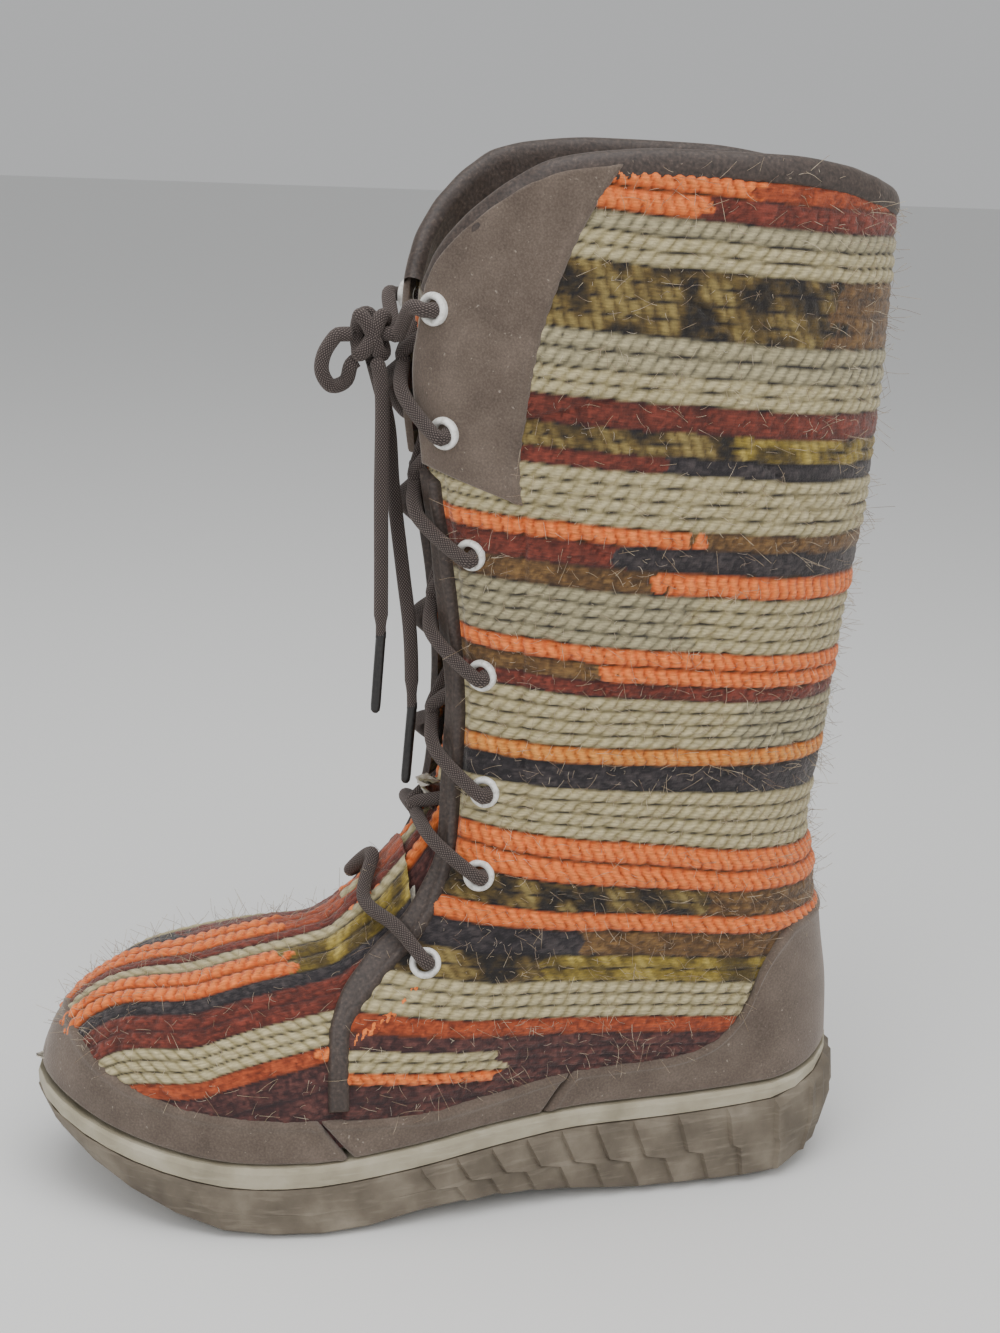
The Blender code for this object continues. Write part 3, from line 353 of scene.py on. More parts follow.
STATIONS = (
    Station(-0.040, 0.037, 0.037, 0.000, 0.090),
    Station(-0.010, 0.037, 0.037, 0.000, 0.090),
    Station(0.020, 0.038, 0.036, 0.000, 0.090),
    Station(0.055, 0.039, 0.033, 0.000, 0.090),
    Station(0.090, 0.043, 0.035, 0.000, 0.090),
    Station(0.125, 0.050, 0.044, -0.001, 0.072),
    Station(0.155, 0.054, 0.051, -0.002, 0.052),
    Station(0.180, 0.054, 0.055, -0.004, 0.044),
    Station(0.205, 0.051, 0.056, -0.006, 0.037),
    Station(0.225, 0.049, 0.054, -0.008, 0.031),
    Station(0.240, 0.048, 0.052, -0.009, 0.028),
)
Sole = namedtuple("Sole", "x tread band_low band_high")
SOLE = (
    Sole(-0.050, 0.0120, 0.0430, 0.0455),
    Sole(-0.041, 0.0075, 0.0410, 0.0440),
    Sole(-0.030, 0.0030, 0.0370, 0.0412),
    Sole(-0.014, 0.0000, 0.0330, 0.0385),
    Sole(0.036, 0.0000, 0.0295, 0.0360),
    Sole(0.062, 0.0025, 0.0288, 0.0352),
    Sole(0.090, 0.0048, 0.0260, 0.0330),
    Sole(0.116, 0.0040, 0.0230, 0.0302),
    Sole(0.142, 0.0000, 0.0205, 0.0280),
    Sole(0.174, 0.0000, 0.0190, 0.0266),
    Sole(0.192, 0.0035, 0.0205, 0.0276),
    Sole(0.208, 0.0090, 0.0230, 0.0296),
    Sole(0.222, 0.0155, 0.0265, 0.0324),
    Sole(0.232, 0.0220, 0.0300, 0.0356),
    Sole(0.244, 0.0300, 0.0355, 0.0408),
)
Edge = namedtuple("Edge", "z x")
THROAT = (
    Edge(0.020, 0.1490), Edge(0.055, 0.1490), Edge(0.069, 0.1480), Edge(0.078, 0.1440),
    Edge(0.088, 0.1360), Edge(0.099, 0.1240), Edge(0.110, 0.1155), Edge(0.127, 0.1080),
    Edge(0.145, 0.1060), Edge(0.172, 0.1050), Edge(0.191, 0.1060), Edge(0.212, 0.1085),
    Edge(0.230, 0.1115), Edge(0.247, 0.1150), Edge(0.263, 0.1175), Edge(0.290, 0.1205),
    Edge(0.312, 0.1190),
)
Collar = namedtuple("Collar", "x z")
COLLAR = (
    Collar(-0.042, 0.3450), Collar(-0.026, 0.3500), Collar(-0.012, 0.3535), Collar(0.010, 0.3560),
    Collar(0.050, 0.3565), Collar(0.070, 0.3550), Collar(0.085, 0.3520), Collar(0.095, 0.3465),
    Collar(0.104, 0.3390), Collar(0.111, 0.3310), Collar(0.116, 0.3225), Collar(0.119, 0.3120),
)
Rand = namedtuple("Rand", "x top")
RAND = (
    Rand(-0.041, 0.0980), Rand(-0.014, 0.0970), Rand(-0.007, 0.0930), Rand(-0.003, 0.0830),
    Rand(0.000, 0.0720), Rand(0.004, 0.0640), Rand(0.012, 0.0560), Rand(0.026, 0.0515),
    Rand(0.066, 0.0490), Rand(0.095, 0.0445), Rand(0.125, 0.0415), Rand(0.154, 0.0425),
    Rand(0.176, 0.0435), Rand(0.193, 0.0450), Rand(0.209, 0.0480), Rand(0.225, 0.0540),
    Rand(0.234, 0.0590), Rand(0.239, 0.0620),
)
Rear = namedtuple("Rear", "z x")
PANEL_REAR = (
    Rear(0.246, 0.0885), Rear(0.263, 0.0900), Rear(0.285, 0.0885), Rear(0.303, 0.0860),
    Rear(0.326, 0.0795), Rear(0.343, 0.0720), Rear(0.357, 0.0625),
)
PANEL_LOW_FRONT_Z = 0.2555
PANEL_LOW_REAR_Z = 0.2460
HEEL_X = -0.041
TOE_X = 0.239
FRONT_CORNER_Z = 0.312
GAP = 0.0003


def column(table, name):
    return np.array([getattr(row, name) for row in table])


def smooth_curve(xs, ys, at):
    """A cubic through the points that never swings past them."""
    at = np.clip(np.asarray(at, float), xs[0], xs[-1])
    step = np.diff(xs)
    rise = np.diff(ys) / step
    slope = np.zeros(len(xs))
    slope[0] = rise[0]
    slope[-1] = rise[-1]
    for i in range(1, len(xs) - 1):
        if rise[i - 1] * rise[i] > 0:
            near = 2 * step[i] + step[i - 1]
            far = step[i] + 2 * step[i - 1]
            slope[i] = (near + far) / (near / rise[i - 1] + far / rise[i])
    i = np.clip(np.searchsorted(xs, at, side="right") - 1, 0, len(xs) - 2)
    t = (at - xs[i]) / step[i]
    level = ys[i] + t * t * (3 - 2 * t) * (ys[i + 1] - ys[i])
    return level + step[i] * t * (1 - t) * ((1 - t) * slope[i] - t * slope[i + 1])


def along(table, key, name, at):
    return smooth_curve(column(table, key), column(table, name), at)


def ease(t):
    t = np.clip(t, 0, 1)
    return t * t * (3 - 2 * t)


def rounding(depth):
    return np.sqrt(1 - (1 - np.clip(depth, 0, 1)) ** 2)


def back_x(z):
    return along(LEVELS, "z", "back", z)


def front_x(z):
    return along(FRONT, "z", "x", z)


def ridge_z(x):
    vamp = FRONT[VAMP_ROWS][::-1]
    behind = np.maximum(vamp[0].x - x, 0)
    return along(vamp, "x", "z", x) + 1.3 * behind + 40 * behind**2


def middle_y(x):
    return along(STATIONS, "x", "middle", x)


def half_width(x, z, side):
    """How far the outer skin stands from the middle line, at a point of the side view."""
    shaft = ease((z - 0.055) / 0.085)
    foot = along(STATIONS, "x", "outer" if side > 0 else "inner", x)
    width = (1 - shaft) * foot + shaft * along(LEVELS, "z", "half_width", z)
    from_back = (x - back_x(z)) / along(LEVELS, "z", "back_round", z)
    ahead_of = np.maximum(front_x(z) - x, 1e-9) / along(LEVELS, "z", "front_round", z)
    above = np.maximum(ridge_z(x) - z, 1e-9) / along(STATIONS, "x", "dome", x)
    vamp = 1 - ease((z - 0.095) / 0.045)
    from_front = 1 / np.sqrt(1 / ahead_of**2 + vamp / above**2)
    return width * rounding(from_back) * rounding(from_front)


def skin(x, z, side):
    """Point on the outer skin of the upper, from its place in the side view."""
    x, z = np.broadcast_arrays(np.asarray(x, float), np.asarray(z, float))
    return np.stack([x, middle_y(x) + side * half_width(x, z, side), z], axis=-1)


def station(x_nominal, z, side):
    share = (x_nominal - HEEL_X) / (TOE_X - HEEL_X)
    return skin(back_x(z) + (front_x(z) - back_x(z)) * share, z, side)


def throat_x(z):
    return along(THROAT, "z", "x", z)


def collar_z(x):
    return along(COLLAR, "x", "z", x)


def band_top(x):
    return along(SOLE, "x", "band_high", x)


def foot_z(x):
    share = (x - HEEL_X) / (TOE_X - HEEL_X)
    return band_top(x + 0.004 * (2 * share - 1)) + GAP


def quarter_turn(count=80):
    return np.sin(np.linspace(0, pi / 2, count))


def shaft_row(height, count, front=0.0):
    """Line round the boot from throat edge to throat edge, at a height at its front end."""
    collar = ease((height - 0.190) / (FRONT_CORNER_Z - 0.190))
    low = ease((0.062 - height) / 0.032)
    end = float(throat_x(height)) + front
    x = float(back_x(height)) + (end - float(back_x(height))) * quarter_turn(240)
    z = height + collar * (collar_z(x) - FRONT_CORNER_Z) + low * (foot_z(x) - 0.030)
    heel = back_x(z)
    x = (heel + (end - heel) * (x - x[0]) / (x[-1] - x[0]))[::-1]
    z = z[::-1]
    outer = skin(x, z, 1)
    inner = skin(x, z, -1)[::-1]
    return spaced(np.concatenate([outer, inner[1:]]), count)


def grid_normals(places, inside):
    """Unit normals of a grid of places, away from the inside."""
    normal = np.cross(np.gradient(places, axis=1), np.gradient(places, axis=0))
    normal /= np.maximum(np.linalg.norm(normal, axis=2, keepdims=True), 1e-12)
    return normal if (normal * (places - inside)).sum() > 0 else -normal


def mottle(a, b, seed):
    """Soft random values from 0 to 1 over a plane, one lattice step for each unit."""
    table = np.random.default_rng(seed).random((64, 64))
    i, j = np.floor(a).astype(int), np.floor(b).astype(int)
    p, q = ease(a - i), ease(b - j)
    top = table[i % 64, j % 64] * (1 - p) + table[(i + 1) % 64, j % 64] * p
    low = table[i % 64, (j + 1) % 64] * (1 - p) + table[(i + 1) % 64, (j + 1) % 64] * p
    return top * (1 - q) + low * q


# Each yarn: how it lies in its row, its own colour, its dark and light tones (painted shade in the
# valleys and painted highlight on the crowns of its twists; navy oat's dark is also its real navy ply,
# tweed's its dark flecks), the painted shade of the gap above it, how far a row stands proud, and the
# length of one twist or bobble
Yarn = namedtuple("Yarn", "lay own dark light gap rise pitch")
# Painted shade: the two dark tones that fill the gaps between rows
COOL_GAP_SHADE = tint(30, 27, 32)
WARM_GAP_SHADE = tint(58, 42, 26)
YARNS = {
    "oat": Yarn("rope", tint(150, 138, 98), tint(104, 94, 62), tint(190, 178, 140), COOL_GAP_SHADE, 0.0015, 0.0045),
    "navy oat": Yarn("rope", tint(128, 120, 92), tint(36, 34, 42), tint(176, 166, 132), COOL_GAP_SHADE, 0.0015,
                     0.0045),
    "orange": Yarn("bobble", tint(208, 92, 30), tint(134, 50, 16), tint(240, 132, 64), WARM_GAP_SHADE, 0.0021, 0.0038),
    "amber": Yarn("bobble", tint(196, 108, 34), tint(120, 62, 20), tint(224, 150, 70), WARM_GAP_SHADE, 0.0019, 0.0038),
    "rust": Yarn("mohair", tint(138, 56, 26), tint(84, 32, 18), tint(182, 84, 44), WARM_GAP_SHADE, 0.0012, 0.0030),
    "maroon": Yarn("mohair", tint(92, 38, 28), tint(50, 20, 16), tint(132, 58, 44), COOL_GAP_SHADE, 0.0013, 0.0030),
    "plum": Yarn("mohair", tint(62, 34, 34), tint(28, 18, 22), tint(104, 62, 56), COOL_GAP_SHADE, 0.0012, 0.0030),
    "black": Yarn("mohair", tint(36, 32, 36), tint(14, 13, 16), tint(72, 64, 64), COOL_GAP_SHADE, 0.0011, 0.0030),
    "brown": Yarn("mohair", tint(88, 62, 34), tint(44, 30, 18), tint(130, 98, 56), COOL_GAP_SHADE, 0.0012, 0.0032),
    "tweed": Yarn("tweed", tint(92, 74, 36), tint(26, 22, 20), tint(140, 122, 70), COOL_GAP_SHADE, 0.0013, 0.0042),
    "mustard": Yarn("tweed", tint(132, 112, 40), tint(74, 60, 24), tint(170, 150, 76), COOL_GAP_SHADE, 0.0013, 0.0040),
}

# Rows of the shaft from the collar down: lower edge at mid-width, how many rows, the yarn
# ahead and behind, and the station where the yarn changes
Band = namedtuple("Band", "low rows yarn behind change")
SHAFT_TOP = 0.364
SHAFT_CHART = (
    Band(0.3520, 2, "mustard", "mustard", 0.0),
    Band(0.3455, 1, "orange", "rust", 0.018),
    Band(0.3380, 1, "orange", "maroon", 0.036),
    Band(0.3320, 1, "navy oat", "navy oat", 0.0),
    Band(0.3225, 2, "oat", "oat", 0.0),
    Band(0.3010, 4, "tweed", "brown", -0.012),
    Band(0.2890, 2, "navy oat", "navy oat", 0.0),
    Band(0.2800, 2, "oat", "oat", 0.0),
    Band(0.2710, 1, "maroon", "maroon", 0.0),
    Band(0.2630, 2, "tweed", "mustard", 0.020),
    Band(0.2575, 1, "maroon", "black", 0.045),
    Band(0.2390, 4, "oat", "oat", 0.0),
    Band(0.2330, 1, "orange", "brown", 0.030),
    Band(0.2250, 1, "maroon", "black", 0.058),
    Band(0.2170, 1, "brown", "orange", 0.042),
    Band(0.1980, 4, "navy oat", "oat", 0.030),
    Band(0.1920, 1, "orange", "orange", 0.0),
    Band(0.1860, 1, "brown", "orange", 0.058),
    Band(0.1810, 1, "maroon", "maroon", 0.0),
    Band(0.1640, 4, "oat", "navy oat", 0.010),
    Band(0.1580, 1, "amber", "amber", 0.0),
    Band(0.1490, 1, "black", "black", 0.0),
    Band(0.1300, 4, "oat", "oat", 0.0),
    Band(0.1140, 2, "orange", "orange", 0.0),
    Band(0.1050, 2, "tweed", "brown", 0.020),
    Band(0.0985, 1, "orange", "orange", 0.0),
    Band(0.0900, 1, "black", "brown", 0.060),
    Band(0.0810, 2, "tweed", "mustard", 0.074),
    Band(0.0680, 3, "oat", "oat", 0.0),
    Band(0.0620, 1, "rust", "rust", 0.0),
    Band(0.0570, 1, "plum", "plum", 0.0),
    Band(0.0500, 2, "oat", "plum", 0.090),
    Band(0.0460, 1, "orange", "plum", 0.090),
    Band(0.0100, 6, "plum", "plum", 0.0),
)
Fall = namedtuple("Fall", "z drop")
FALL = (
    Fall(0.040, 0.014), Fall(0.070, 0.014), Fall(0.105, 0.012), Fall(0.125, 0.016),
    Fall(0.160, 0.006), Fall(0.193, 0.011), Fall(0.230, 0.010), Fall(0.345, 0.011),
)
MIDDLE_SHARE = 0.55

# Quilting lines pressed into the knit, as stations and heights of their two ends
Quilt = namedtuple("Quilt", "x0 z0 x1 z1")
QUILTING = (
    Quilt(0.086, 0.249, 0.062, 0.231), Quilt(0.083, 0.206, 0.030, 0.162),
    Quilt(0.035, 0.216, 0.014, 0.193), Quilt(0.066, 0.145, 0.051, 0.134),
    Quilt(0.056, 0.138, 0.031, 0.116), Quilt(0.070, 0.114, 0.047, 0.097),
    Quilt(0.094, 0.272, 0.055, 0.285), Quilt(0.010, 0.262, -0.014, 0.240),
    Quilt(0.004, 0.178, -0.016, 0.160), Quilt(0.040, 0.314, 0.012, 0.296),
    Quilt(0.088, 0.246, 0.085, 0.180), Quilt(0.085, 0.180, 0.081, 0.125),
)
QUILT_HALF = 0.0022
QUILT_DEPTH = 0.0013


def knit_rows(run, level, station_x, chart, top):
    """Relief and colour of a charted knit, from the run along its rows and the level across them; the colour
    carries painted shade in the row gaps and twist valleys and painted highlight on the crowns.
    """
    lows = np.array([band.low for band in chart])
    highs = np.concatenate([[top], lows[:-1]])
    index = np.clip(np.searchsorted(-lows, -level, side="left"), 0, len(chart) - 1)
    waver = 0.0007 * (mottle(run / 0.018, level / 0.03, 5) - 0.5)
    share = np.clip((level + waver - lows[index]) / (highs - lows)[index], 0, 0.9999)
    count = np.array([band.rows for band in chart])[index]
    row = np.floor(share * count)
    across = share * count - row
    line_number = index * 8 + row
    dome = np.sqrt(np.clip(1 - (2 * across - 1) ** 2, 0, 1))
    change = np.array([band.change for band in chart])[index]
    change = change + 0.012 * (mottle(run / 0.004, level / 0.003, 9) - 0.5)
    behind = station_x < change
    lift = np.zeros_like(run)
    colour = np.zeros(run.shape + (3,))
    for name, yarn in YARNS.items():
        uses = np.zeros(run.shape, bool)
        for number, band in enumerate(chart):
            uses |= (index == number) & (np.where(behind, band.behind == name, band.yarn == name))
        if not uses.any():
            continue
        s, u, d, n = run[uses], across[uses], dome[uses], line_number[uses]
        slack = 0.35 * mottle(s / 0.02, n * 1.37, 3)
        fleck = mottle(s / 0.0011, level[uses] / 0.0009, 11)
        blotch = mottle(s / 0.006, n * 0.77 + u, 17)
        # Painted light: each lay's shade factor runs dark in the valleys between twists or bobbles and
        # towards the row edges, and light on their crowns; flecks, blotches and tweed nubs add real random
        # tone
        if yarn.lay == "rope":
            lobes = np.abs(np.sin(pi * (s / yarn.pitch + slack + 0.85 * u + 0.31 * n))) ** 0.55
            form = d * (0.45 + 0.55 * lobes)
            shade = 0.25 + 0.75 * lobes * d
        elif yarn.lay == "bobble":
            lobes = np.abs(np.sin(pi * (s / yarn.pitch + slack + 0.5 * n + 0.2 * np.sin(2 * pi * u)))) ** 0.5
            form = d * (0.35 + 0.65 * lobes) * (0.8 + 0.4 * blotch)
            shade = 0.15 + 0.85 * lobes * d
        elif yarn.lay == "tweed":
            lobes = np.abs(np.sin(pi * (s / yarn.pitch + slack - 0.6 * u + 0.5 * n))) ** 0.7
            form = d * (0.5 + 0.5 * lobes)
            shade = np.clip(1.7 * blotch - 0.35, 0, 1) * (0.4 + 0.6 * lobes)
        else:
            form = (0.35 + 0.65 * d) * (0.45 + 0.55 * fleck) * (0.75 + 0.5 * blotch)
            shade = 0.2 + 0.5 * fleck * d + 0.3 * blotch
        shade = np.clip(shade + 0.35 * (fleck - 0.5), 0, 1)[:, None]
        low_mix = np.clip(shade * 2, 0, 1)
        high_mix = np.clip(shade * 2 - 1, 0, 1)
        tone = yarn.dark * (1 - low_mix) + yarn.own * low_mix
        tone = tone * (1 - high_mix) + yarn.light * high_mix
        # Painted shade: towards both edges of each row the colour falls to the gap tone, half as far for
        # mohair
        gap = np.clip((d - 0.25) / 0.4, 0, 1)[:, None]
        if yarn.lay == "mohair":
            gap = 0.5 + 0.5 * gap
        colour[uses] = yarn.gap * (1 - gap) + tone * gap
        lift[uses] = yarn.rise * form
    return lift, colour


def quilted(x, z):
    """How deep the quilting presses the knit in, from 0 to 1."""
    press = np.zeros_like(x)
    for line in QUILTING:
        way = np.array([line.x1 - line.x0, line.z1 - line.z0])
        along_line = np.clip(((x - line.x0) * way[0] + (z - line.z0) * way[1]) / (way @ way), 0, 1)
        away = np.hypot(x - line.x0 - way[0] * along_line, z - line.z0 - way[1] * along_line)
        press = np.maximum(press, 1 - ease(away / QUILT_HALF))
    return press


def covered(x, z):
    """1 where suede lies on the knit, which is pressed flat under it."""
    under_rand = ease((along(RAND, "x", "top", x) - 0.001 - z) / 0.002)
    rear = along(PANEL_REAR, "z", "x", np.clip(z, PANEL_LOW_REAR_Z, 0.357))
    share = np.clip((x - rear) / (throat_x(z) - rear + 1e-6), 0, 1)
    low = PANEL_LOW_REAR_Z + share * (PANEL_LOW_FRONT_Z - PANEL_LOW_REAR_Z)
    under_panel = ease((x - rear - 0.0005) / 0.002) * ease((z - low - 0.0005) / 0.002)
    under_bound = ease((x - throat_x(z) + 0.0062) / 0.002)
    return np.maximum.reduce([under_rand, under_panel, under_bound])


def knit_finish():
    """Wool knit: its charted colours with their painted shade and highlight, with fine fibres along the rows
    and a soft nap.
    """
    material, shader = new_finish("charted wool knit", 0.96, 0.35, (0.85, 0.8, 0.75))
    # The yarn attribute holds the charted colours with painted shade in row gaps and twist valleys and
    # painted highlight on crowns
    yarn = finish_node(material, "ShaderNodeAttribute")
    yarn.attribute_name = "yarn"
    uv = finish_node(material, "ShaderNodeTexCoord")
    mapping = finish_node(material, "ShaderNodeMapping", Vector=(uv, "UV"))
    mapping.inputs["Rotation"].default_value = (0, 0, radians(28))
    mapping.inputs["Scale"].default_value = (260, 1500, 1)
    fibres = finish_node(material, "ShaderNodeTexNoise", Vector=(mapping, "Vector"), Scale=1.0, Detail=4.0)
    fuzz = finish_node(material, "ShaderNodeTexNoise", Vector=(uv, "Object"), Scale=1400.0, Detail=3.0)
    stops = ((0.28, (0.55, 0.55, 0.55)), (0.55, (1, 1, 1)), (0.8, (1.5, 1.45, 1.4)))
    tone = shades(material, (fibres, "Fac"), stops)
    mix = material.node_tree.nodes.new("ShaderNodeMix")
    mix.data_type = "RGBA"
    mix.blend_type = "MULTIPLY"
    mix.inputs["Factor"].default_value = 0.8
    material.node_tree.links.new(yarn.outputs["Color"], mix.inputs["A"])
    material.node_tree.links.new(tone.outputs["Color"], mix.inputs["B"])
    material.node_tree.links.new(mix.outputs["Result"], shader.inputs["Base Color"])
    total = finish_node(material, "ShaderNodeMath")
    material.node_tree.links.new(fibres.outputs["Fac"], total.inputs[0])
    material.node_tree.links.new(fuzz.outputs["Fac"], total.inputs[1])
    raise_surface(material, shader, (total, 0), 0.55, 0.0007)
    return material


wool_knit = knit_finish()


def knit_sheet(name, base, inside, run, level, station_x, chart, top, flat, sink=0.0):
    """A knit sheet over a grid of places, with its relief, colour attribute (yarn colours with painted shade
    and highlight) and UV in metres.
    """
    lift, colour = knit_rows(run, level, station_x, chart, top)
    lift = (lift - sink) * (1 - flat) - 0.0006 * flat
    places = base + grid_normals(base, inside) * lift[..., None]
    sheet = placed_grid(name, places, np.stack([run, level], axis=-1), wool_knit, inside)
    # The yarn colours written here include painted shade and painted highlight
    layer = sheet.data.color_attributes.new(name="yarn", type="FLOAT_COLOR", domain="POINT")
    rgba = np.concatenate([colour, np.ones(colour.shape[:2] + (1,))], axis=-1)
    layer.data.foreach_set("color", rgba.astype(np.float32).ravel())
    return sheet, places


SHAFT_LINES = 385
SHAFT_COLUMNS = 485
fine_heights = np.linspace(0.034, FRONT_CORNER_Z, SHAFT_LINES)
shaft = np.stack([shaft_row(height, SHAFT_COLUMNS) for height in fine_heights])
knit_places = {}
middle_column = SHAFT_COLUMNS // 2
for word, part_of in (("lateral", np.s_[:, :middle_column + 1]), ("medial", np.s_[:, middle_column:])):
    base = shaft[part_of]
    x, z = base[..., 0], base[..., 2]
    width = np.maximum(throat_x(z) - back_x(z), 0.02)
    share = (throat_x(z) - x) / width
    level = z + along(FALL, "z", "drop", z) * (share - MIDDLE_SHARE)
    step = np.linalg.norm(np.diff(base, axis=1), axis=2)
    run = np.concatenate([np.zeros((len(base), 1)), np.cumsum(step, axis=1)], axis=1)
    if word == "lateral":
        run = run[:, -1:] - run
    run = run + 0.3
    hollow = QUILT_DEPTH * quilted(x, z)
    inside = base * (0, 0, 1) + (0.05, 0, 0)
    sheet, places = knit_sheet("knit_quarter_" + word, base, inside, run, level, x, SHAFT_CHART, SHAFT_TOP,
                               covered(x, z), hollow)
    knit_places[word] = places
    ride_as(sheet, "knit", "upper")

# Knit vamp. The forefoot is the same knit turned with its rows lengthwise, and it runs
# under the bound edge of the quarters and under the suede rand.
VAMP_BACK_X = 0.118
VAMP_DROP = 0.0010
VAMP_TOP = 0.100
VAMP_CHART = (
    Band(0.0630, 4, "plum", "plum", 0.0),
    Band(0.0575, 1, "rust", "orange", 0.150),
    Band(0.0460, 3, "oat", "oat", 0.0),
    Band(0.0345, 2, "maroon", "maroon", 0.0),
    Band(0.0295, 1, "black", "black", 0.0),
    Band(0.0175, 2, "orange", "mustard", 0.158),
    Band(0.0125, 1, "oat", "oat", 0.0),
    Band(0.0080, 1, "maroon", "maroon", 0.0),
    Band(-0.0050, 2, "orange", "rust", 0.160),
    Band(-0.0180, 2, "black", "maroon", 0.190),
    Band(-0.0300, 3, "oat", "oat", 0.0),
    Band(-0.0360, 1, "orange", "orange", 0.0),
    Band(-0.0600, 4, "plum", "plum", 0.0),
    Band(-0.1000, 7, "oat", "oat", 0.0),
)


def vamp_section(x, count):
    """Line over the forefoot at one station, from sole edge to sole edge."""
    foot = float(foot_z(x)) + 0.004
    crown = float(ridge_z(x))
    z = foot + (crown - foot) * quarter_turn(200)
    outer = skin(x, z, 1)
    inner = skin(x, z, -1)[::-1]
    return spaced(np.concatenate([outer, inner[1:]]), count), run_length(outer)


vamp_stations = VAMP_BACK_X + (0.2382 - VAMP_BACK_X) * quarter_turn(250)
sections = [vamp_section(x, 271) for x in vamp_stations]
vamp_base = np.stack([line for line, _ in sections])
crown_run = np.array([crown for _, crown in sections])[:, None]
step = np.linalg.norm(np.diff(vamp_base, axis=1), axis=2)
from_edge = np.concatenate([np.zeros((len(step), 1)), np.cumsum(step, axis=1)], axis=1)
x, z = vamp_base[..., 0], vamp_base[..., 2]
level = crown_run - from_edge
level = level + 0.015 * ease((x - 0.188) / 0.040) + 0.003 * np.clip((0.187 - x) / 0.037, 0, 1)
along_vamp = np.concatenate([[0], np.cumsum(np.linalg.norm(np.diff(vamp_base[:, 135], axis=0), axis=1))])
run = np.broadcast_to(along_vamp[:, None], x.shape) + 0.3
inside = vamp_base * (1, 0, 0) + (-0.03, -0.004, 0.03)
under_rand = ease((along(RAND, "x", "top", x) - 0.001 - z) / 0.002)
vamp_sheet, vamp_places = knit_sheet("knit_vamp", vamp_base, inside, run, level, x, VAMP_CHART, VAMP_TOP,
                                     under_rand, VAMP_DROP * ease((0.165 - x) / 0.02))
ride_as(vamp_sheet, "knit", "upper")

# Tongue. A padded strip of the same knit under the lacing, its rows lengthwise, with the
# pale fleece of its backing showing along both edges.
QUARTER_WALL = 0.0034
TONGUE_WALL = 0.0030
TONGUE_DEPTH = 0.0098
TONGUE_TOP_Z = 0.306
HUMP_HALF_WIDTH = 0.0200
HUMP_HEIGHT = 0.0055
TONGUE_FOOT = ((0.1010, 0.138), (0.1070, 0.1315), (0.1140, 0.125), (0.1230, 0.1182), (0.1340, 0.1123))
TONGUE_LINES = 250
TONGUE_COLUMNS = 91
TONGUE_CHART = (
    Band(0.0200, 2, "tweed", "tweed", 0.0),
    Band(0.0125, 1, "plum", "plum", 0.0),
    Band(0.0070, 1, "orange", "orange", 0.0),
    Band(0.0015, 1, "maroon", "maroon", 0.0),
    Band(-0.0050, 1, "oat", "oat", 0.0),
    Band(-0.0110, 1, "orange", "orange", 0.0),
    Band(-0.0400, 4, "black", "black", 0.0),
)


def tongue_line():
    """The tongue's middle line in the side view, from inside the throat up to its top."""
    z_up = np.linspace(0.152, TONGUE_TOP_Z, 6)
    path = [(x, z) for z, x in TONGUE_FOOT] + [(float(front_x(z)), z) for z in z_up]
    line = smooth_path([(x, 0, z) for x, z in path], TONGUE_LINES)
    return line[:, [0, 2]]


path = tongue_line()
way = np.gradient(path, axis=0)
way /= np.linalg.norm(way, axis=1)[:, None]
base_share = 1 - ease(np.linspace(0, 1, TONGUE_LINES) * 3.2)
rows = []
for spot, (along_x, along_z), share in zip(path, way, base_share):
    depth = np.linspace(0.0002, TONGUE_DEPTH + 0.006 * share, 90)
    xs = spot[0] - abs(along_z) * depth
    zs = spot[1] - abs(along_x) * depth
    rows.append(spaced(np.concatenate([skin(xs, zs, 1)[::-1], skin(xs, zs, -1)]), TONGUE_COLUMNS))
tongue_base = np.stack(rows)
middle = tongue_base[:, TONGUE_COLUMNS // 2][:, None]
off_middle = np.linalg.norm(tongue_base - middle, axis=2)
hump = np.clip(1 - (off_middle / HUMP_HALF_WIDTH) ** 2, 0, 1)
inside = middle - np.array([0.02, 0, 0.01])
tongue_out = grid_normals(tongue_base, inside)
top_lift = -(QUARTER_WALL + 0.0017) + HUMP_HEIGHT * base_share[:, None] * hump
tongue_face = tongue_base + tongue_out * (top_lift - 0.0010)[..., None]
level = off_middle * np.sign(np.arange(TONGUE_COLUMNS) - TONGUE_COLUMNS // 2)[None] * -1
up_tongue = np.concatenate([[0], np.cumsum(np.linalg.norm(np.diff(middle[:, 0], axis=0), axis=1))])
run = np.broadcast_to(up_tongue[:, None], level.shape) + 0.3
tongue_sheet, tongue_places = knit_sheet("knit_tongue", tongue_face, inside, run, level, run, TONGUE_CHART,
                                         0.040, np.zeros_like(run))
ride_as(tongue_sheet, "knit", "tongue")


def fleece_finish():
    """Off-white pile: soft clumps in shade and relief."""
    material, shader = new_finish("off-white pile", 1.0, 0.6)
    place = finish_node(material, "ShaderNodeTexCoord")
    clumps = finish_node(material, "ShaderNodeTexNoise", Vector=(place, "Object"), Scale=320.0, Detail=5.0)
    stops = ((0.3, tint(176, 164, 142)), (0.55, tint(222, 213, 196)), (0.8, tint(242, 237, 226)))
    ramp = shades(material, (clumps, "Fac"), stops)
    material.node_tree.links.new(ramp.outputs["Color"], shader.inputs["Base Color"])
    raise_surface(material, shader, (clumps, "Fac"), 0.9, 0.003)
    return material


fleece = fleece_finish()


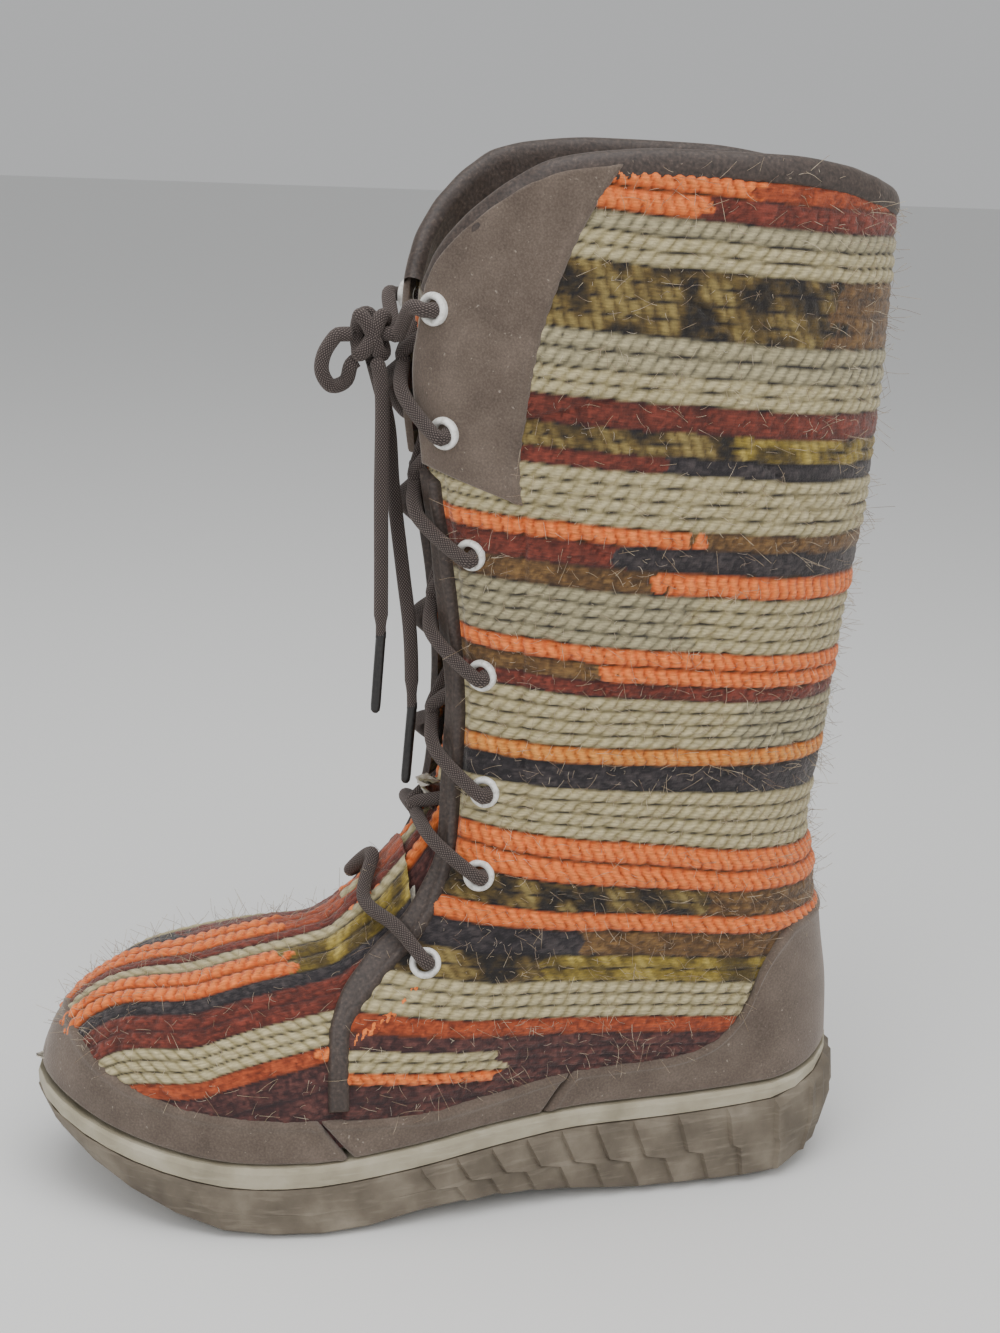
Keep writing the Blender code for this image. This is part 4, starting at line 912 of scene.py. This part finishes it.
def fleece_sheet(name, places, inside, clump=0.0010):
    """A pile surface over a grid of places, roughened into clumps, facing the inside of the boot."""
    rows, columns = places.shape[:2]
    a, b = np.meshgrid(np.arange(columns), np.arange(rows))
    rough = clump * (mottle(a / 2.2, b / 2.2, 23) + 0.5 * mottle(a / 1.1, b / 1.1, 29) - 0.7)
    places = places + grid_normals(places, inside) * rough[..., None]
    sheet = placed_grid(name, places, np.stack([a, b], axis=-1) * 0.001, fleece, inside)
    sheet.data.flip_normals()
    return sheet


tongue_back = tongue_base + tongue_out * (top_lift - TONGUE_WALL)[..., None]
ride_as(fleece_sheet("tongue_backing", tongue_back[::2, ::2], inside[::2]), "fleece", "tongue")

# Lining and footbed. Off-white pile lines the whole shaft and foot; it shows inside the
# mouth and where the quarters part over the tongue.
LINING_LINES = 110
LINING_COLUMNS = 181
lining_heights = np.linspace(0.033, FRONT_CORNER_Z - 0.002, LINING_LINES)
lining_base = np.stack([shaft_row(height, LINING_COLUMNS, -0.0005) for height in lining_heights])
inside = lining_base * (0, 0, 1) + (0.05, 0, 0)
lining_out = grid_normals(lining_base, inside)
ride_as(fleece_sheet("shaft_lining", lining_base - lining_out * QUARTER_WALL, inside), "fleece", "upper")
FOOT_HEART = np.array([-0.03, -0.004, 0.03])
vamp_out = grid_normals(vamp_base, vamp_base * (1, 0, 0) + FOOT_HEART)
vamp_inner = (vamp_base - vamp_out * 0.0042)[::5, ::3]
foot_lining = fleece_sheet("foot_lining", vamp_inner, vamp_inner * (1, 0, 0) + FOOT_HEART)
ride_as(foot_lining, "fleece", "upper")
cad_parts["insole"].data.materials.clear()
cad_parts["insole"].data.materials.append(fleece)

# Suede overlays. Taupe-brown split suede for the toe rand, the side rands, the heel
# counter and the two lace panels, with folded edges and a worn nap.
SUEDE_THICK = 0.0021
SUEDE_EDGE = 0.0020


def suede_finish():
    """Taupe suede: mottled nap, pale flecks of lint and a soft edge light."""
    material, shader = new_finish("taupe suede", 0.92, 0.45, (0.8, 0.72, 0.66))
    place = finish_node(material, "ShaderNodeTexCoord")
    nap = finish_node(material, "ShaderNodeTexNoise", Vector=(place, "Object"), Scale=1500.0, Detail=5.0)
    worn = finish_node(material, "ShaderNodeTexNoise", Vector=(place, "Object"), Scale=75.0, Detail=4.0)
    lint = finish_node(material, "ShaderNodeTexNoise", Vector=(place, "Object"), Scale=620.0, Detail=2.0)
    stops = ((0.25, tint(62, 51, 43)), (0.5, tint(92, 79, 69)), (0.8, tint(124, 110, 98)))
    fine = shades(material, (nap, "Fac"), stops)
    broad = shades(material, (worn, "Fac"), ((0.3, tint(72, 60, 51)), (0.7, tint(112, 98, 87))))
    flecks = shades(material, (lint, "Fac"), ((0.70, (0, 0, 0)), (0.76, (0.5, 0.5, 0.5))))
    mix = material.node_tree.nodes.new("ShaderNodeMix")
    mix.data_type = "RGBA"
    mix.inputs["Factor"].default_value = 0.5
    material.node_tree.links.new(fine.outputs["Color"], mix.inputs["A"])
    material.node_tree.links.new(broad.outputs["Color"], mix.inputs["B"])
    pale = material.node_tree.nodes.new("ShaderNodeMix")
    pale.data_type = "RGBA"
    pale.inputs["B"].default_value = (*tint(168, 156, 142), 1)
    material.node_tree.links.new(flecks.outputs["Color"], pale.inputs["Factor"])
    material.node_tree.links.new(mix.outputs["Result"], pale.inputs["A"])
    material.node_tree.links.new(pale.outputs["Result"], shader.inputs["Base Color"])
    raise_surface(material, shader, (nap, "Fac"), 0.35, 0.0006)
    return material


suede = suede_finish()


def edge_runs(places):
    """Distance of each grid point from the low, high, first and last edge of the sheet."""
    up_step = np.linalg.norm(np.diff(places, axis=0), axis=2)
    side_step = np.linalg.norm(np.diff(places, axis=1), axis=2)
    low = np.concatenate([np.zeros((1, places.shape[1])), np.cumsum(up_step, axis=0)])
    first = np.concatenate([np.zeros((places.shape[0], 1)), np.cumsum(side_step, axis=1)], axis=1)
    return low, low[-1:] - low, first, first[:, -1:] - first


def overlay(name, base, inside, node, rim=0.0007, thick=SUEDE_THICK, rims=(1, 2, 3), drop=0.0, material=None):
    """A leather piece over the skin: rounded edges, a raised folded rim, and a gently uneven face."""
    runs = edge_runs(base)
    near = np.minimum.reduce(runs)
    swell = np.sqrt(np.clip(1 - (1 - near / SUEDE_EDGE) ** 2, 0, 1))
    swell = np.where(near > SUEDE_EDGE, 1, swell)
    lift = -0.0008 + (thick + 0.0008) * swell
    for number in rims:
        lift = lift + rim * np.exp(-((runs[number] - 0.0026) / 0.0013) ** 2)
    low, first = runs[0], runs[2]
    lift = lift + 0.0004 * (mottle(first / 0.016, low / 0.012, 31) - 0.5) * swell - drop
    places = base + grid_normals(base, inside) * lift[..., None]
    piece = placed_grid(name, places, np.stack([first, low], axis=-1), material or suede, inside)
    return ride_as(piece, "suede" if material is None else "binding", node)


def rand_grid(seam, direction, lines, columns):
    """Rows of the toe rand or heel counter, from the sole to its top edge, round toe or heel."""
    rows = []
    for share in np.linspace(0, 1, lines):
        start = seam[0] + (seam[1] - seam[0]) * share + direction * GAP
        end = TOE_X if direction > 0 else HEEL_X
        x = start + (end - start) * quarter_turn(160)
        z = foot_z(x) + share * (along(RAND, "x", "top", x) - foot_z(x))
        rows.append(spaced(np.concatenate([station(x, z, 1), station(x, z, -1)[::-1][1:]]), columns))
    return np.stack(rows)


TOE_SEAM = (0.142, 0.153)
HEEL_SEAM = (0.074, 0.064)
toe_base = rand_grid(TOE_SEAM, 1, 34, 330)
toe_heart = toe_base * (0, 0, 1) + (0.17, -0.004, 0)
toe_drop = 0.0006 * ease((toe_base[..., 0] - 0.153) / 0.006)
overlay("suede_toe_rand", toe_base, toe_heart, "toe_rand", drop=toe_drop)
heel_base = rand_grid(HEEL_SEAM, -1, 60, 330)
overlay("suede_heel_counter", heel_base, heel_base * (0, 0, 1) + (0.03, 0, 0), "heel_counter")


def side_grid(side, lines, columns):
    rows = []
    for share in np.linspace(0, 1, lines):
        front = TOE_SEAM[0] + (TOE_SEAM[1] - TOE_SEAM[0]) * share - GAP - 0.0010 * (1 - share)
        rear = HEEL_SEAM[0] + (HEEL_SEAM[1] - HEEL_SEAM[0]) * share + GAP
        x = np.linspace(rear, front, columns)
        z = foot_z(x) + share * (along(RAND, "x", "top", x) - foot_z(x))
        rows.append(station(x, z, side))
    return np.stack(rows)


def panel_grid(side, lines, columns):
    rows = []
    for share in np.linspace(0, 1, lines):
        height = PANEL_LOW_FRONT_Z + share * (FRONT_CORNER_Z - PANEL_LOW_FRONT_Z)
        rear_z = PANEL_LOW_REAR_Z + share * (PANEL_REAR[-1].z - 0.0012 - PANEL_LOW_REAR_Z)
        front = float(throat_x(height)) - 0.0002
        rear = float(along(PANEL_REAR, "z", "x", rear_z))
        x = np.linspace(rear, front, columns)
        collar = np.minimum(collar_z(x), 0.3565) - 0.0004
        across = (x - rear) / (front - rear)
        low = PANEL_LOW_REAR_Z + across * (PANEL_LOW_FRONT_Z - PANEL_LOW_REAR_Z)
        rows.append(skin(x, low + share * (collar - low), side))
    return np.stack(rows)


for word, side in (("lateral", 1), ("medial", -1)):
    base = side_grid(side, 22, 150)
    inside = base * (1, 0, 1) + (0, middle_y(base[..., 0]).mean(), 0)
    overlay("suede_side_rand_" + word, base, inside, "side_rand_" + word, rim=0.0009, rims=(1,))
    base = panel_grid(side, 150, 80)
    inside = base * (0, 0, 1) + (0.06, 0, 0)
    overlay("suede_lace_panel_" + word, base, inside, "lace_panel_" + word, rims=(2,))

# Bindings. A dark smooth leather strip is folded over the front edge of each quarter, and
# a brown facing is rolled over the collar and down into the mouth.
BINDING_THICK = 0.0020


def binding_finish():
    """Dark brown smooth leather with fine grain and a dull shine on its creases."""
    material, shader = new_finish("dark brown binding", 0.55, 0.15, (0.7, 0.6, 0.5))
    place = finish_node(material, "ShaderNodeTexCoord")
    grain = finish_node(material, "ShaderNodeTexNoise", Vector=(place, "Object"), Scale=900.0, Detail=5.0)
    stops = ((0.3, tint(38, 30, 27)), (0.6, tint(66, 54, 48)), (0.85, tint(98, 84, 75)))
    ramp = shades(material, (grain, "Fac"), stops)
    material.node_tree.links.new(ramp.outputs["Color"], shader.inputs["Base Color"])
    raise_surface(material, shader, (grain, "Fac"), 0.4, 0.0005)
    return material


binding_leather = binding_finish()
for word, side in (("lateral", 1), ("medial", -1)):
    z = np.linspace(0.0445, 0.2545, 260)
    width = 0.0040 + 0.0030 * ease((0.125 - z) / 0.030)
    rows = []
    for share in np.linspace(0, 1, 22):
        x = throat_x(z) - width * (1 - share) + 0.0004 * share
        rows.append(skin(x, z - 0.004 * (1 - share) * ease((z - 0.066) / 0.02), side))
    base = np.stack(rows)
    inside = base * (0, 0, 1) + (0.05, 0, 0)
    overlay("throat_binding_" + word, base, inside, "quarter_binding_" + word, rim=0.0005,
            thick=BINDING_THICK, rims=(0,), material=binding_leather)

facing_line = shaft_row(FRONT_CORNER_Z, 361)
below_line = shaft_row(FRONT_CORNER_Z - 0.004, 361)
pair = np.stack([below_line, facing_line])
out = grid_normals(pair, pair * (0, 0, 1) + (0.05, 0, 0))[1]
forward = np.gradient(facing_line, axis=0)
rise = np.cross(out, forward)
rise *= np.sign(rise[:, 2:3])
rise /= np.linalg.norm(rise, axis=1)[:, None]
# Roll of the facing, from its outer stitched edge over the top and down inside
FACING = (
    (0.0000, -0.0060), (0.0014, -0.0052), (0.0019, -0.0030), (0.0016, -0.0004), (0.0006, 0.0018),
    (-0.0012, 0.0030), (-0.0030, 0.0028), (-0.0044, 0.0014), (-0.0050, -0.0015), (-0.0048, -0.0080),
    (-0.0046, -0.0160), (-0.0044, -0.0240), (-0.0038, -0.0300), (-0.0030, -0.0310),
)
profile = smooth_path([(a, 0, b) for a, b in FACING], 40)
pucker = 0.0003 * np.sin(np.arange(361) * 0.55) * mottle(np.arange(361) / 9.0, np.zeros(361), 41)
# The facing is cut shallow towards its front corners, where the wall curves away below it
FACING_CORNER = 0.100
FACING_SHALLOW = 0.2
step = np.linalg.norm(np.diff(facing_line, axis=0), axis=1)
from_first = np.concatenate([[0], np.cumsum(step)])
from_corner = np.minimum(from_first, from_first[-1] - from_first)
reach = FACING_SHALLOW + (1 - FACING_SHALLOW) * ease(from_corner / FACING_CORNER)
rows = []
for a, _, b in profile:
    fall = b * reach if a < -0.002 and b < 0 else b * np.ones(361)
    rows.append(facing_line + out * (a + pucker)[:, None] + rise * fall[:, None])
facing = np.stack(rows)
inside = facing_line[None] - out * 0.0018 - rise * 0.008
facing_uv = np.stack(np.meshgrid(np.arange(361) * 0.001, np.arange(40) * 0.001), axis=-1)
collar_facing = placed_grid("collar_facing", facing, facing_uv, binding_leather, inside)
ride_as(collar_facing, "binding", "collar_binding")

# Eyelets. White enamelled rings riveted through panel and quarter, seven a side.
Eyelet = namedtuple("Eyelet", "x z")
EYELETS = (
    Eyelet(0.1155, 0.307), Eyelet(0.1110, 0.268), Eyelet(0.1020, 0.228), Eyelet(0.0965, 0.187),
    Eyelet(0.0945, 0.147), Eyelet(0.0965, 0.119), Eyelet(0.1150, 0.090),
)
EYELET_OUTER = 0.0054
EYELET_HOLE = 0.0030
EYELET_RISE = 0.0013
OVERLAY = 0.0020
BINDING = 0.0017


def enamel_finish():
    """White enamel, faintly yellowed and scuffed."""
    material, shader = new_finish("white enamel", 0.3)
    place = finish_node(material, "ShaderNodeTexCoord")
    wear = finish_node(material, "ShaderNodeTexNoise", Vector=(place, "Object"), Scale=600.0, Detail=4.0)
    stops = ((0.25, tint(186, 182, 172)), (0.5, tint(232, 231, 226)), (0.8, tint(246, 246, 244)))
    ramp = shades(material, (wear, "Fac"), stops)
    material.node_tree.links.new(ramp.outputs["Color"], shader.inputs["Base Color"])
    raise_surface(material, shader, (wear, "Fac"), 0.1, 0.0002)
    return material


enamel = enamel_finish()


def skin_frame(x, z, side, lift):
    """Matrix at a point of the side view: local +Z points out of the boot."""
    step = 0.002
    here = skin(x, z, side)
    ahead_of = skin(x + step, z, side) - skin(x - step, z, side)
    upward = skin(x, z + step, side) - skin(x, z - step, side)
    out = Vector(np.cross(ahead_of, upward)).normalized()
    if out.y * side < 0:
        out = -out
    turn = out.to_track_quat("Z", "Y").to_matrix().to_4x4()
    return Matrix.Translation(Vector(here) + out * lift) @ turn


def seat_height(spot, side):
    """How far the skin swells above its tangent plane under an eyelet ring."""
    frame_in = skin_frame(spot.x, spot.z, side, 0.0).inverted()
    swell = 0.0
    for dx in np.linspace(-EYELET_OUTER, EYELET_OUTER, 9):
        for dz in np.linspace(-EYELET_OUTER, EYELET_OUTER, 9):
            near = frame_in @ Vector(skin(spot.x + dx, spot.z + dz, side))
            if near.xy.length < EYELET_OUTER:
                swell = max(swell, near.z)
    return swell


def ring_seat(spot, side):
    panel = OVERLAY if spot.z > PANEL_LOW_FRONT_Z else 0.0
    return panel + seat_height(spot, side) + 0.0010


def eyelet_ring(name, spot, side):
    """A ring spun from a half-round section, with its barrel turned down into the hole."""
    seat = ring_seat(spot, side)
    middle_r = 0.5 * (EYELET_HOLE + EYELET_OUTER)
    half = 0.5 * (EYELET_OUTER - EYELET_HOLE)
    section = [(EYELET_HOLE, seat - 0.0040)]
    for angle in np.linspace(pi, 0, 11):
        section.append((middle_r + half * cos(angle), seat + EYELET_RISE * sin(angle)))
    section.append((EYELET_OUTER - 0.0002, seat - 0.0016))
    bm = bmesh.new()
    corners = [bm.verts.new((r, 0, z)) for r, z in section]
    edges = [bm.edges.new(two) for two in zip(corners, corners[1:])]
    bmesh.ops.spin(bm, geom=corners + edges, cent=(0, 0, 0), axis=(0, 0, 1), angle=2 * pi, steps=36,
                   use_merge=True)
    bmesh.ops.remove_doubles(bm, verts=bm.verts, dist=1e-6)
    bmesh.ops.recalc_face_normals(bm, faces=bm.faces)
    top = max(bm.faces, key=lambda face: face.calc_center_median().z)
    if top.normal.z < 0:
        bmesh.ops.reverse_faces(bm, faces=bm.faces)
    bm.transform(skin_frame(spot.x, spot.z, side, 0.0))
    mesh = bpy.data.meshes.new(name)
    bm.to_mesh(mesh)
    bm.free()
    mesh.shade_smooth()
    mesh.materials.append(enamel)
    obj = bpy.data.objects.new(name, mesh)
    bpy.context.collection.objects.link(obj)
    return obj


for word, side in (("lateral", 1), ("medial", -1)):
    for number, spot in enumerate(EYELETS, 1):
        ring = eyelet_ring("enamel_ring_%s_%d" % (word, number), spot, side)
        ride_as(ring, "enamel", "eyelet_%s_%d" % (word, number))

# Lacing. The same braided cord crosses from side to side up the throat, in at each eyelet
# and out over the bound edge, with a bar over the lowest pair and a lead to the knot.
EDGE_TOP = BINDING + LACE_RADIUS + LACE_CLEAR


def over(x, z, side, lift):
    return skin_frame(x, z, side, lift).translation


def throat_centre(z, lift):
    x = float(front_x(z))
    return Vector((x + lift, float(middle_y(x)), z))


def through_eyelet(spot, side):
    """The cord comes up out of the hole and turns over the ring."""
    seat = ring_seat(spot, side)
    crest = over(spot.x, spot.z, side, seat + EYELET_RISE + LACE_RADIUS + LACE_CLEAR)
    below = over(spot.x - 0.0006, spot.z, side, seat - 0.0060)
    return [below, over(spot.x - 0.0010, spot.z, side, seat), crest]


def strand(low, high, side):
    middle_z = 0.5 * (low.z + high.z)
    edge_z = low.z + 0.30 * (high.z - low.z)
    edge_x = float(throat_x(edge_z))
    gap = float(half_width(edge_x, edge_z, side))
    centre = throat_centre(middle_z, 0.0006)
    beyond = centre + Vector((-0.0002, -side * 0.10 * gap, 0.10 * (high.z - low.z)))
    crest = over(edge_x - 0.001, edge_z, side, EDGE_TOP + 0.0020)
    tucked = over(float(throat_x(high.z)) - 0.003, high.z - 0.004, -side, -0.0052)
    return smooth_path([*through_eyelet(low, side), crest, centre, beyond, tucked], 60)


for number in range(1, 6):
    for word, side in (("lateral", 1), ("medial", -1)):
        line = strand(EYELETS[number], EYELETS[number - 1], side)
        run_piece = cord_tube("lacing_%d_%s" % (number, word), line, LACE_RADIUS, lace_cord)
        ride_as(run_piece, "lace", "lace_crossing_%d" % number)
low = EYELETS[-1]
half = {}
for side in (1, -1):
    half[side] = through_eyelet(low, side) + [
        over(0.1215, 0.0985, side, EDGE_TOP + 0.0010),
        throat_centre(0.110, 0.0045) + Vector((0, side * 0.0135, -0.0045)),
    ]
route = half[1] + [throat_centre(0.1165, 0.0050)] + half[-1][::-1]
ride_as(cord_tube("lacing_bar", smooth_path(route, 110), LACE_RADIUS, lace_cord), "lace", "lace_bar")
for word, side in (("lateral", 1), ("medial", -1)):
    top = EYELETS[0]
    turned = skin_frame(top.x, top.z, side, ring_seat(top, side))
    route = through_eyelet(top, side) + [
        turned @ Vector((-side * 1.15 * EYELET_OUTER, 0, LACE_RADIUS + 2 * LACE_CLEAR)),
        *knot_port((-0.85, side * 0.42, 0.10))[::-1],
        KNOT_CENTRE.lerp(knot_port((-0.85, side * 0.42, 0.10))[0], 0.4),
    ]
    lead = cord_tube("lacing_lead_" + word, smooth_path(route, 60), LACE_RADIUS, lace_cord)
    ride_as(lead, "lace", "lace_lead_" + word)

# Sole. A cupped taupe rubber outsole and a pale foxing stripe round its top, moulded with
# ribs and scales, scuffed and dusty from wear.


def rubber_finish(name, dark, own, light, roughness):
    """Worn rubber: dust in broad clouds, scuffs along the side and a fine pitted face."""
    material, shader = new_finish(name, roughness)
    place = finish_node(material, "ShaderNodeTexCoord")
    clouds = finish_node(material, "ShaderNodeTexNoise", Vector=(place, "Object"), Scale=60.0, Detail=6.0)
    mapping = finish_node(material, "ShaderNodeMapping", Vector=(place, "Object"))
    mapping.inputs["Scale"].default_value = (90, 90, 700)
    scuffs = finish_node(material, "ShaderNodeTexNoise", Vector=(mapping, "Vector"), Scale=1.0, Detail=5.0)
    ramp = shades(material, (clouds, "Fac"), ((0.25, dark), (0.5, own), (0.8, light)))
    worn = shades(material, (scuffs, "Fac"), ((0.55, (0, 0, 0)), (0.75, (0.45, 0.45, 0.45))))
    mix = material.node_tree.nodes.new("ShaderNodeMix")
    mix.data_type = "RGBA"
    mix.inputs["B"].default_value = (*light, 1)
    material.node_tree.links.new(worn.outputs["Color"], mix.inputs["Factor"])
    material.node_tree.links.new(ramp.outputs["Color"], mix.inputs["A"])
    material.node_tree.links.new(mix.outputs["Result"], shader.inputs["Base Color"])
    pits = finish_node(material, "ShaderNodeTexNoise", Vector=(place, "Object"), Scale=1100.0, Detail=3.0)
    raise_surface(material, shader, (pits, "Fac"), 0.25, 0.0004)
    return material


taupe_rubber = rubber_finish("taupe rubber", tint(78, 69, 58), tint(106, 96, 82), tint(142, 132, 116), 0.7)
stone_rubber = rubber_finish("stone rubber", tint(134, 126, 106), tint(162, 153, 131), tint(188, 180, 160),
                             0.6)
for node, rubber in (("outsole", taupe_rubber), ("midsole", stone_rubber)):
    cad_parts[node].data.materials.clear()
    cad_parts[node].data.materials.append(rubber)

# Stray fibres. The wool is hairy: thin light hairs stand off the knit all over.
HAIR_COUNT = 3600
VAMP_HAIR_COUNT = 1200
HAIR_JOINTS = 3
HAIR_RADIUS = 0.00006


def hair_finish():
    material, shader = new_finish("stray wool hair", 0.9, 0.5)
    place = finish_node(material, "ShaderNodeTexCoord")
    tone = finish_node(material, "ShaderNodeTexNoise", Vector=(place, "Object"), Scale=160.0, Detail=2.0)
    stops = ((0.3, tint(92, 58, 40)), (0.5, tint(150, 128, 96)), (0.75, tint(214, 200, 172)))
    ramp = shades(material, (tone, "Fac"), stops)
    material.node_tree.links.new(ramp.outputs["Color"], shader.inputs["Base Color"])
    return material


hair = hair_finish()


def stray_hairs(name, places, inside, count, keep, seed):
    """Short curled hairs from random spots of a knit sheet, as one curve of many thin strands."""
    draw = np.random.default_rng(seed)
    normal = grid_normals(places, inside)
    curve = bpy.data.curves.new(name, "CURVE")
    curve.dimensions = "3D"
    curve.bevel_depth = HAIR_RADIUS
    curve.bevel_resolution = 0
    for _ in range(count):
        r = draw.integers(2, places.shape[0] - 2)
        c = draw.integers(2, places.shape[1] - 2)
        length = draw.uniform(0.0025, 0.0085)
        drift = draw.normal(size=3)
        curl = draw.normal(size=3) * 0.5
        if not keep[r, c]:
            continue
        lean = normal[r, c] * draw.uniform(0.25, 0.9) + drift * 0.45
        lean /= np.linalg.norm(lean)
        spline = curve.splines.new("POLY")
        spline.points.add(HAIR_JOINTS)
        root = places[r, c] - normal[r, c] * 0.0003
        for k in range(HAIR_JOINTS + 1):
            t = k / HAIR_JOINTS
            spot = root + lean * length * t + curl * length * 0.5 * t * t
            spline.points[k].co = (*spot, 1)
    curve.materials.append(hair)
    obj = bpy.data.objects.new(name, curve)
    bpy.context.collection.objects.link(obj)
    return ride_as(obj, "knit")


for seed, (word, places) in enumerate(knit_places.items(), 51):
    x, z = places[..., 0], places[..., 2]
    stray_hairs("stray_hairs_" + word, places, places * (0, 0, 1) + (0.05, 0, 0), HAIR_COUNT,
                covered(x, z) < 0.2, seed)
x, z = vamp_places[..., 0], vamp_places[..., 2]
stray_hairs("stray_hairs_vamp", vamp_places, vamp_places * (1, 0, 0) + (-0.03, -0.004, 0.03),
            VAMP_HAIR_COUNT, (z > along(RAND, "x", "top", x)) & (x > throat_x(z)), 61)

# Studio. A pale floor and broad soft lights from above and both sides.
bm = bmesh.new()
bmesh.ops.create_grid(bm, x_segments=1, y_segments=1, size=6)
floor_mesh = bpy.data.meshes.new("studio_floor")
bm.to_mesh(floor_mesh)
bm.free()
floor = bpy.data.objects.new("studio_floor", floor_mesh)
bpy.context.collection.objects.link(floor)
floor_paint, floor_shader = new_finish("pale floor", 0.9)
floor_shader.inputs["Base Color"].default_value = (0.80, 0.80, 0.79, 1)
floor_mesh.materials.append(floor_paint)

Lamp = namedtuple("Lamp", "name place target size power")
LAMPS = (
    Lamp("top_softbox", (0.15, 0.25, 1.30), (0.08, 0, 0.15), 1.2, 13.0),
    Lamp("front_softbox", (0.95, 0.90, 0.75), (0.10, 0, 0.18), 0.9, 7.0),
    Lamp("side_softbox", (-0.80, 1.00, 0.80), (0.05, 0, 0.18), 1.0, 5.0),
)
for lamp in LAMPS:
    light = bpy.data.lights.new(lamp.name, "AREA")
    light.size = lamp.size
    light.energy = lamp.power
    holder = bpy.data.objects.new(lamp.name, light)
    holder.location = lamp.place
    holder.rotation_euler = (Vector(lamp.target) - Vector(lamp.place)).to_track_quat("-Z", "Y").to_euler()
    bpy.context.collection.objects.link(holder)
world = bpy.data.worlds.new("studio_air")
world.use_nodes = True
world.node_tree.nodes["Background"].inputs["Color"].default_value = (0.93, 0.94, 0.95, 1)
world.node_tree.nodes["Background"].inputs["Strength"].default_value = 0.55
bpy.context.scene.world = world
